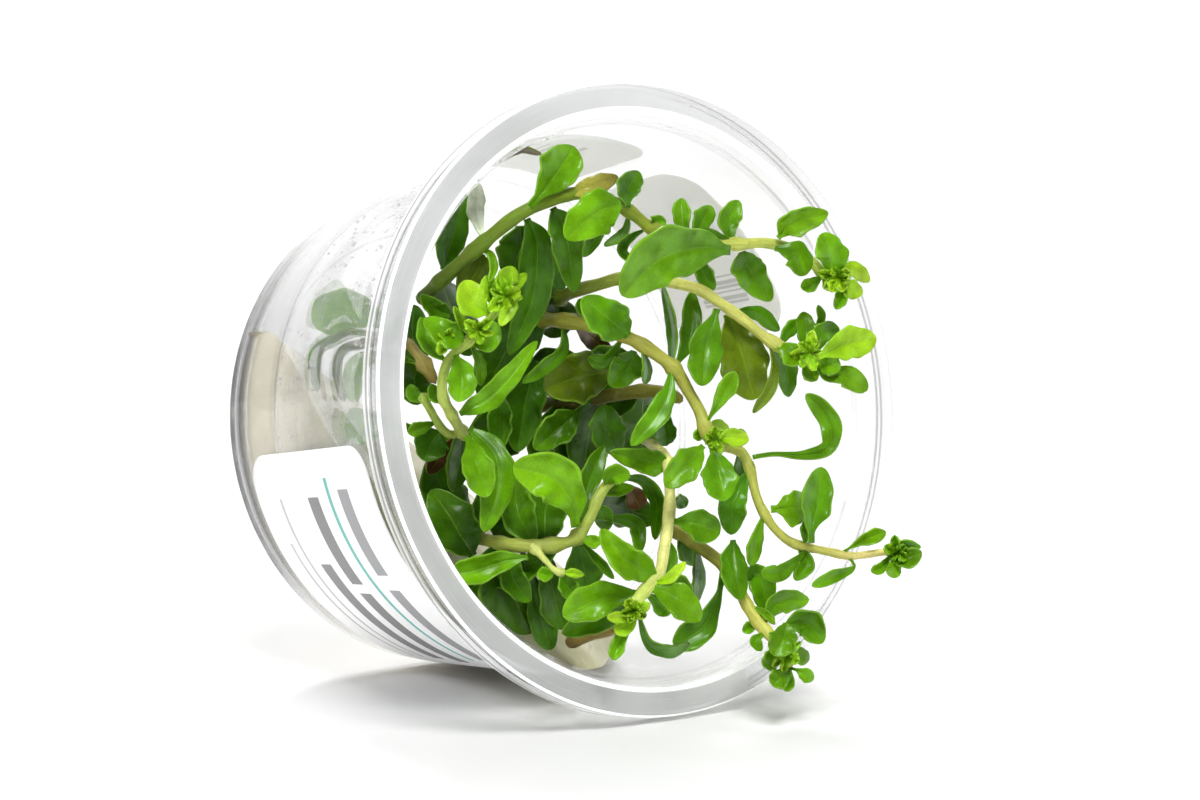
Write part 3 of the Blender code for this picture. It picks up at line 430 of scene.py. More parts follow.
def makePaperSkin(name, bars):
    skin = Skin(name, Roughness=0.5, IOR=1.45, Emission_Strength=0.1)
    along, down, _ = skin.split(skin.carried("sheet"))
    fibre = skin.noise(3000.0, 2.0)
    body = skin.mix(fibre, colour(0.93, 0.93, 0.93), colour(0.9, 0.9, 0.9))
    for start, end, upper, lower, share, ink in bars:
        inside = along.above(start) * (1.0 - along.above(end)) * down.above(upper) * (1.0 - down.above(lower))
        body = skin.mix(inside * share, body, ink)
    skin.feed("Base Color", body)
    # painted light: the paper glows a little in its own colour, which makes it whiter
    skin.feed("Emission Color", body)
    skin.feed("Roughness", fibre.ramp(0.2, 0.8, 0.42, 0.55))
    skin.bump(fibre, 0.1, 0.00005)
    return skin.material


def makeDropSkin():
    skin = Skin("drops", Base_Color=colour(1.0, 1.0, 1.0), Roughness=0.01, IOR=1.33, Transmission_Weight=1.0)
    skin.feed("Roughness", skin.noise(900.0).ramp(0.3, 0.7, 0.0, 0.03))
    return skin.material


def makeFloorSkin():
    # plain and pale, with painted light and shade: paler near the cup, a little darker further off, and a painted glow
    # far off, where it meets the white of the room
    skin = Skin("floor", Roughness=0.7, Specular_IOR_Level=0.2, Emission_Strength=1.0)
    cloud = skin.noise(6.0)
    away = skin.node("ShaderNodeVectorMath", {"operation": "LENGTH"}, {0: skin.place()}, output=1)
    pale = skin.mix(cloud, colour(0.84, 0.84, 0.84), colour(0.85, 0.85, 0.85))
    skin.feed("Base Color", skin.dim(pale, away.ramp(0.15, 0.4, 1.0, 0.84)))
    skin.feed("Emission Color", skin.dim((1.0, 1.0, 1.0), away.ramp(0.25, 0.9) * 0.25 + away.ramp(0.8, 2.4) * 0.5))
    return skin.material


def clearSelection():
    if bpy.context.object and bpy.context.object.mode != "OBJECT":
        bpy.ops.object.mode_set(mode="OBJECT")
    bpy.ops.object.select_all(action="DESELECT")


def pick(thing):
    clearSelection()
    thing.select_set(True)
    bpy.context.view_layer.objects.active = thing


def applyAll(thing):
    pick(thing)
    for change in list(thing.modifiers):
        bpy.ops.object.modifier_apply(modifier=change.name)


def joined(name, things):
    clearSelection()
    for thing in things:
        thing.select_set(True)
    bpy.context.view_layer.objects.active = things[0]
    if len(things) > 1:
        bpy.ops.object.join()
    made = bpy.context.object
    made.name = name
    made.data.name = name
    return made


def pointsOf(thing):
    flat = np.empty(len(thing.data.vertices) * 3)
    thing.data.vertices.foreach_get("co", flat)
    return flat.reshape(-1, 3)


def setPoints(thing, points):
    thing.data.vertices.foreach_set("co", np.asarray(points, np.float32).ravel())
    thing.data.update()


def gridSheet(name, columns, rows):
    # a grid, with each vertex's place across it from -1 to 1, and along it from 0 to 1
    clearSelection()
    bpy.ops.mesh.primitive_grid_add(x_subdivisions=columns, y_subdivisions=rows, size=2.0)
    thing = bpy.context.object
    thing.name = name
    flat = pointsOf(thing)
    return thing, flat[:, 0], (flat[:, 1] + 1) / 2


def mend(thing, within, sliver=0.0):
    # its doubles merged, then its faces turned outwards
    pick(thing)
    bpy.ops.object.mode_set(mode="EDIT")
    bpy.ops.mesh.select_all(action="SELECT")
    bpy.ops.mesh.remove_doubles(threshold=within)
    if sliver:
        bpy.ops.mesh.dissolve_degenerate(threshold=sliver)
    bpy.ops.mesh.normals_make_consistent(inside=False)
    bpy.ops.object.mode_set(mode="OBJECT")


def thicken(thing, thickness):
    thickening = thing.modifiers.new("thick", "SOLIDIFY")
    thickening.thickness = thickness * mm
    thickening.offset = 0.0
    applyAll(thing)


def carry(thing, name, kind, values):
    layer = thing.data.attributes.new(name, kind, "POINT")
    field = "color" if kind == "FLOAT_COLOR" else "vector"
    layer.data.foreach_set(field, np.asarray(values, np.float32).ravel())


def wear(thing, *materials):
    thing.data.materials.clear()
    for material in materials:
        thing.data.materials.append(material)


def settle(piece, node, slot):
    # the piece moves with the root body and stands for its CAD node
    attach(piece, "root")
    if node:
        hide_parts(node)


def chanceOf(name, number=0):
    # a steady number from 0 to 1 for a name
    total = sum((i + 1) * ord(letter) for i, letter in enumerate(name)) + 977 * number
    return (math.sin(total * 12.9898) * 43758.5453) % 1.0


tones = {  # colour near the stalk, colour at the tip
    "fresh": ((0.070, 0.205, 0.002), (0.115, 0.300, 0.003)),
    "bright": ((0.105, 0.275, 0.002), (0.150, 0.360, 0.004)),
    "lime": ((0.230, 0.460, 0.006), (0.360, 0.600, 0.020)),
    # the darkest green below is painted shade, for the leaves deep inside the cup where little light reaches
    "deep": ((0.030, 0.100, 0.002), (0.050, 0.145, 0.002)),
    "mid": ((0.048, 0.155, 0.002), (0.078, 0.220, 0.002)),
    "olive": ((0.100, 0.160, 0.006), (0.130, 0.200, 0.008)),
    "brown": ((0.130, 0.090, 0.020), (0.090, 0.060, 0.015)),
    "rust": ((0.130, 0.055, 0.012), (0.070, 0.030, 0.010)),
    "dried": ((0.360, 0.380, 0.050), (0.100, 0.090, 0.020)),
    "white": ((0.550, 0.620, 0.450), (0.600, 0.640, 0.500)),
}

blade = {
    "thick": 0.26,  # mm
    "across": 10,  # columns and rows of a leaf's grid
    "along": 26,
    "rowBend": 1.25,  # how much closer the rows lie toward the tip
    "stalkShare": 0.2,  # the stalk's width, as a share of the blade's
    "usual": 5.0,  # mm wide: the leaf that the next six are measured on
    "cup": 0.95,  # mm that the sides rise
    "curl": 0.45,  # mm that the very edge turns further
    "roll": 1.2,  # mm that one side may stand nearer than the other
    "wave": 0.36,  # mm that the margin goes in and out
    "bow": 0.3,  # mm that the whole blade goes in and out
    "crease": 0.3,  # mm that the midrib lies deeper
    "creaseHalf": 0.16,  # shares of the half width from here
    "ragged": 0.07,  # how far the outline wanders
    "shadeWide": 1.16,  # the leaves deep inside are fuller
    "waves": 1.6,  # how often along a blade, from here
    "bows": 1.3,
    "slowWander": 2.3,
    "quickWander": 4.1,
    "lightest": 1.16,  # of its tone, and the darkest
    "darkest": 0.88,
}


def leaf(tone, wide, *route, lean=0.0, fold=0.3, widest=0.62, wave=1.0):
    # wide in mm, and a route of (photo column, photo row, mm past the rim plane) along its midrib
    return dict(tone=tone, wide=wide, route=route, lean=lean, fold=fold, widest=widest, wave=wave)


def shade(wide, *route, widest=0.5):
    # a leaf deep inside: dark with painted shade, flat across and blunt
    return leaf("deep", wide, *route, fold=0.0, widest=widest)


def bladeShare(t, widest):
    # a spoon: slow to widen from the stalk, blunt and round at the tip
    bend = math.log(0.5) / math.log(widest)
    full = np.sin(np.pi * np.clip(t, 0.0, 1.0) ** bend)
    full = np.where(t < widest, full**0.75, full**0.55)
    stalk = blade["stalkShare"] * np.clip((widest - t) / widest, 0.0, 1.0) ** 0.3
    return np.maximum(full, stalk)


def cycle(turns):
    return np.sin(2 * np.pi * turns)


def bladeRise(spec, t, side, share, chance, other):
    # mm that each point of a blade stands toward the viewer: cupped, rolled, rippled, bowed and creased
    cupped = (blade["cup"] * share**2 + blade["curl"] * share**6) * (1.3 * chance - 0.2)
    rolled = blade["roll"] * (2 * other - 1) * share
    ripple = cycle(t * blade["waves"] * (1 + chance) + other + 0.25 * np.sign(side))
    rippled = blade["wave"] * spec["wave"] * ripple * np.abs(share) ** 1.5
    bowed = blade["bow"] * cycle(t * blade["bows"] + chance) * t
    creased = blade["crease"] * np.exp(-((side / blade["creaseHalf"]) ** 2)) * np.sin(np.pi * t)
    size = spec["wide"] / blade["usual"]
    return spec["lean"] * share + spec["fold"] * np.abs(share) + size * (cupped + rolled + rippled + bowed - creased)


def tintLeaf(thing, spec, along, lift, warmth):
    low, high = (np.array(end) for end in tones[spec["tone"]])
    mixed = low + (high - low) * (along**1.4)[:, None]
    warm = np.array([1 + 0.16 * (warmth - 0.5), 1.0, 1.0])
    light = blade["darkest"] + (blade["lightest"] - blade["darkest"]) * lift
    carry(thing, "tint", "FLOAT_COLOR", np.hstack([mixed * light * warm, np.ones((len(mixed), 1))]))


def growLeaf(name, spec, number=0, fine=1.0):
    columns = max(4, round(blade["across"] * fine / 2) * 2)
    rows = max(10, round(blade["along"] * fine))
    thing, side, along = gridSheet(name, columns, rows)
    chance, other = chanceOf(name, number), chanceOf(name, number + 31)
    t = 1 - (1 - along) ** blade["rowBend"]
    places = alongRoute(spec["route"], t)
    step = alongRoute(spec["route"], t + 0.02) - alongRoute(spec["route"], t - 0.02)
    reach = np.hypot(step[:, 0], step[:, 1])
    share = bladeShare(t, spec["widest"]) * side
    away = np.linalg.norm(seenAt(places) - eye, axis=1)
    wide = spec["wide"] * (blade["shadeWide"] if spec["tone"] == "deep" else 1.0)
    wander = cycle(t * blade["slowWander"] + other) * np.sign(side)
    wander = wander + 0.8 * cycle(t * blade["quickWander"] + 3 * chance + side)
    uneven = 1 + blade["ragged"] * wander * np.sin(np.pi * t)
    aside = wide / 2 * view["pixelsPerRadian"] / away * share * uneven / reach
    places[:, 0] -= step[:, 1] * aside
    places[:, 1] += step[:, 0] * aside
    places[:, 2] += bladeRise(spec, t, side, share, chance, other)
    setPoints(thing, inFrame(seenAt(places)))
    carry(thing, "blade", "FLOAT_VECTOR", np.stack([side, along, np.full_like(side, chance)], axis=1))
    tintLeaf(thing, spec, along, chanceOf(name, number + 7), other)
    thing.data.shade_smooth()
    thicken(thing, blade["thick"])
    wear(thing, leafSkin)
    return thing


def stem(thick, tipThick, *route, tones):
    # thick in mm, a route as a leaf's, and tones as (share of the way, colour)
    return dict(thick=thick, tipThick=tipThick, route=route, tones=tones)


stalk = {
    "sides": 14,
    "step": 0.7,  # mm from ring to ring
    "swell": 0.16,  # how much thicker where a leaf starts
    "swellReach": 0.9,  # mm to each side of that place
    "uneven": 0.05,  # of its radius, here and there
    "tint": (1.1, 1.15, 0.6),  # how much of each colour is left of the tones below
}


def stemLine(spec, count):
    fine = alongRoute(spec["route"], np.linspace(0.0, 1.0, 400))
    run = np.concatenate([[0.0], np.cumsum(np.linalg.norm(np.diff(seenAt(fine), axis=0), axis=1))])
    wanted = np.linspace(0.0, run[-1], count or max(6, round(run[-1] / stalk["step"])))
    even = np.stack([np.interp(wanted, run, fine[:, axis]) for axis in range(3)], axis=1)
    return even, wanted


def toneAlong(stops, shares):
    places = [stop[0] for stop in stops]
    return np.stack([np.interp(shares, places, [stop[1][i] for stop in stops]) for i in range(3)], axis=1)


def growTip(name, spec, number):
    # a whorl of small crinkled leaves, each a little nearer or further than the last
    column, row, past = spec["place"]
    made = []
    for i in range(spec["count"]):
        chance, other = chanceOf(name, 40 * number + i), chanceOf(name, 40 * number + i + 400)
        turn = 2 * math.pi * (i + 0.6 * chance) / spec["count"]
        reach = spec["reach"] * (0.5 + 0.5 * other)
        aside, down, near = math.cos(turn) * reach, math.sin(turn) * reach, 1.5 * (chance - 0.3)
        route = (
            (column, row, past - 0.5), (column + 0.45 * aside, row + 0.45 * down, past + near),
            (column + aside, row + down, past + 1.3 * near),
        )
        wide = spec["reach"] * (0.045 + 0.05 * chance)
        widest = 0.45 + 0.15 * chance
        shape = leaf(spec["tone"], wide, *route, fold=1.1, lean=2 * other - 1, widest=widest, wave=4.0)
        made.append(growLeaf(name, shape, 90 + i, 0.6))
    return made


def growStem(name, spec, starts=()):
    # a round tapering stem along its route, from a grid rolled up
    line, run = stemLine(spec, 0)
    points = seenAt(line)
    count = len(points)
    ahead = np.gradient(points, axis=0)
    ahead /= np.linalg.norm(ahead, axis=1)[:, None]
    first = np.cross(ahead[0], upRim)
    first /= np.linalg.norm(first)
    sides = [first]
    for i in range(1, count):
        turned = sides[-1] - ahead[i] * (sides[-1] @ ahead[i])
        sides.append(turned / np.linalg.norm(turned))
    sides = np.array(sides)
    others = np.cross(ahead, sides)
    share = run / run[-1]
    radius = (spec["thick"] + (spec["tipThick"] - spec["thick"]) * share) / 2
    for start in starts:
        nearest = np.argmin(np.hypot(line[:, 0] - start[0], line[:, 1] - start[1]))
        radius = radius * (1 + stalk["swell"] * np.exp(-(((run - run[nearest]) / stalk["swellReach"]) ** 2)))
    radius = radius * (1 + stalk["uneven"] * np.sin(run * 0.9 + chanceOf(name) * 6))
    radius[[0, -1]] *= 0.05  # round ends
    radius[[1, -2]] *= 0.8
    thing, around, along = gridSheet(name, stalk["sides"], count - 1)
    row = np.rint(along * (count - 1)).astype(int)
    turn = (around + 1) * np.pi
    ring = np.cos(turn)[:, None] * sides[row] + np.sin(turn)[:, None] * others[row]
    setPoints(thing, inFrame(points[row] + radius[row][:, None] * ring))
    chance = chanceOf(name)
    carry(thing, "blade", "FLOAT_VECTOR", np.stack([(around + 1) / 2, run[row], np.full_like(along, chance)], axis=1))
    tint = toneAlong(spec["tones"], share[row]) * stalk["tint"]
    carry(thing, "tint", "FLOAT_COLOR", np.hstack([tint, np.ones((len(tint), 1))]))
    mend(thing, 0.02 * mm)
    thing.data.shade_smooth()
    wear(thing, stemSkin)
    return thing


def rooted(spec, stems):
    # the leaf moved so that it starts on the middle of the nearest stem
    wanted = np.array(spec["route"][0])
    lines = np.vstack([stemLine(grown, 120)[0] for grown in stems])
    nearest = lines[np.argmin(np.hypot(lines[:, 0] - wanted[0], lines[:, 1] - wanted[1]))]
    moved = dict(spec)
    moved["route"] = (tuple(nearest), *spec["route"][1:])
    return moved


# a stem forks where it has more than one route
stems = {
    "stem_top": [
        stem(
            2.4, 1.6,
            (418, 303, -16), (455, 268, -8), (490, 237, -3), (520, 214, 1), (550, 200, 3), (580, 193, 4),
            (606, 199, 5), (632, 213, 5), (652, 228, 5), (690, 239, 6), (735, 244, 7), (765, 243, 8),
            (795, 250, 9), (813, 263, 10), (823, 274, 11), (836, 276, 12),
            tones=(
                (0.0, (0.06, 0.10, 0.01)), (0.3, (0.12, 0.19, 0.02)), (0.6, (0.28, 0.32, 0.07)),
                (0.8, (0.44, 0.46, 0.17)), (1.0, (0.42, 0.52, 0.15)),
            ),
        )
    ],
    "stem_upper": [
        stem(
            2.2, 1.5,
            (556, 300, -14), (575, 291, -8), (600, 284, -4), (622, 278, -1), (650, 277, 1), (675, 283, 3),
            (700, 290, 4), (720, 303, 5), (745, 321, 6), (766, 338, 7), (785, 349, 8), (808, 358, 9),
            (818, 362, 9),
            tones=(
                (0.0, (0.10, 0.14, 0.02)), (0.3, (0.22, 0.26, 0.06)), (0.5, (0.50, 0.48, 0.22)),
                (1.0, (0.48, 0.48, 0.20)),
            ),
        )
    ],
    "stem_middle": [
        stem(
            2.5, 1.1,
            (528, 321, -20), (548, 320, -12), (575, 322, -6), (605, 329, -2), (635, 341, 1), (660, 357, 3),
            (676, 371, 4), (690, 394, 5), (700, 412, 6), (706, 430, 7), (714, 441, 7), (728, 447, 6),
            (741, 452, 6), (749, 466, 7), (756, 495, 8), (764, 513, 9), (777, 531, 10), (795, 544, 11),
            (830, 552, 13), (852, 556, 14), (885, 552, 15), (895, 553, 15),
            tones=(
                (0.0, (0.16, 0.16, 0.03)), (0.25, (0.30, 0.28, 0.08)), (0.6, (0.36, 0.38, 0.12)),
                (0.85, (0.42, 0.40, 0.16)), (0.93, (0.62, 0.50, 0.34)), (1.0, (0.60, 0.52, 0.32)),
            ),
        )
    ],
    "stem_dark": [
        stem(
            2.5, 2.0,
            (528, 408, -26), (560, 402, -18), (605, 396, -12), (645, 391, -7), (668, 394, -3), (683, 401, 0),
            tones=((0.0, (0.05, 0.05, 0.01)), (0.6, (0.12, 0.11, 0.025)), (1.0, (0.22, 0.20, 0.05))),
        )
    ],
    "stem_lower": [
        stem(
            2.3, 1.4,
            (456, 532, -26), (474, 537, -18), (500, 543, -10), (530, 546, -6), (560, 544, -4), (577, 537, -3),
            (590, 518, -2), (597, 500, -2), (606, 486, -2), (617, 478, -2),
            tones=((0.0, (0.20, 0.24, 0.05)), (0.5, (0.34, 0.38, 0.12)), (1.0, (0.32, 0.40, 0.12))),
        ),
        stem(
            0.9, 0.8, (531, 544, -6), (545, 560, -3), (556, 571, -1), (566, 573, -1),
            tones=((0.0, (0.52, 0.54, 0.28)), (1.0, (0.55, 0.60, 0.30))),
        ),
    ],
    "stem_pale": [
        stem(
            1.7, 1.8,
            (640, 436, -18), (655, 447, -8), (667, 459, 0), (669, 475, 2), (670, 500, 3), (668, 525, 4),
            (664, 550, 5), (660, 572, 6), (650, 585, 7), (639, 598, 8), (635, 613, 8),
            tones=(
                (0.0, (0.34, 0.36, 0.14)), (0.3, (0.62, 0.58, 0.36)), (0.8, (0.64, 0.62, 0.38)),
                (1.0, (0.50, 0.62, 0.20)),
            ),
        )
    ],
    "stem_hanging": [
        stem(
            2.1, 1.8,
            (660, 522, -10), (680, 534, -4), (703, 549, 0), (722, 564, 3), (735, 582, 6), (746, 603, 8),
            (757, 620, 10), (768, 633, 12), (780, 646, 13), (787, 658, 13), (791, 668, 13),
            tones=(
                (0.0, (0.20, 0.18, 0.05)), (0.5, (0.34, 0.32, 0.10)), (0.8, (0.50, 0.48, 0.18)),
                (1.0, (0.46, 0.52, 0.14)),
            ),
        )
    ],
    "stem_left": [
        stem(
            2.0, 1.2,
            (472, 452, -24), (461, 431, -15), (452, 415, -11), (443, 397, -9), (443, 376, -8), (451, 357, -7),
            (470, 340, -6), (486, 323, -5), (499, 306, -4), (507, 294, -4),
            tones=((0.0, (0.30, 0.36, 0.12)), (0.4, (0.46, 0.52, 0.22)), (1.0, (0.42, 0.58, 0.14))),
        ),
        stem(
            1.4, 1.1, (462, 434, -16), (449, 434, -16), (439, 425, -15), (431, 411, -14), (421, 393, -13),
            tones=((0.0, (0.36, 0.42, 0.16)), (1.0, (0.34, 0.46, 0.14))),
        ),
    ],
    "stem_brown": [
        stem(
            2.1, 1.8, (404, 341, -24), (412, 349, -22), (424, 364, -20), (436, 384, -19),
            tones=((0.0, (0.16, 0.10, 0.04)), (0.5, (0.42, 0.34, 0.18)), (1.0, (0.20, 0.13, 0.05))),
        ),
        stem(
            1.8, 1.4,
            (404, 341, -24), (385, 340, -27), (362, 344, -30), (343, 350, -33), (337, 372, -33), (344, 402, -30),
            tones=((0.0, (0.16, 0.10, 0.04)), (0.5, (0.05, 0.03, 0.015)), (1.0, (0.04, 0.02, 0.01))),
        ),
    ],
    "root_brown": [
        stem(
            2.6, 2.2, (634, 620, -2), (613, 627, -5), (590, 634, -9.5), (566, 644, -14.5),
            tones=((0.0, (0.18, 0.12, 0.04)), (0.6, (0.24, 0.17, 0.06)), (1.0, (0.12, 0.07, 0.03))),
        )
    ],
}

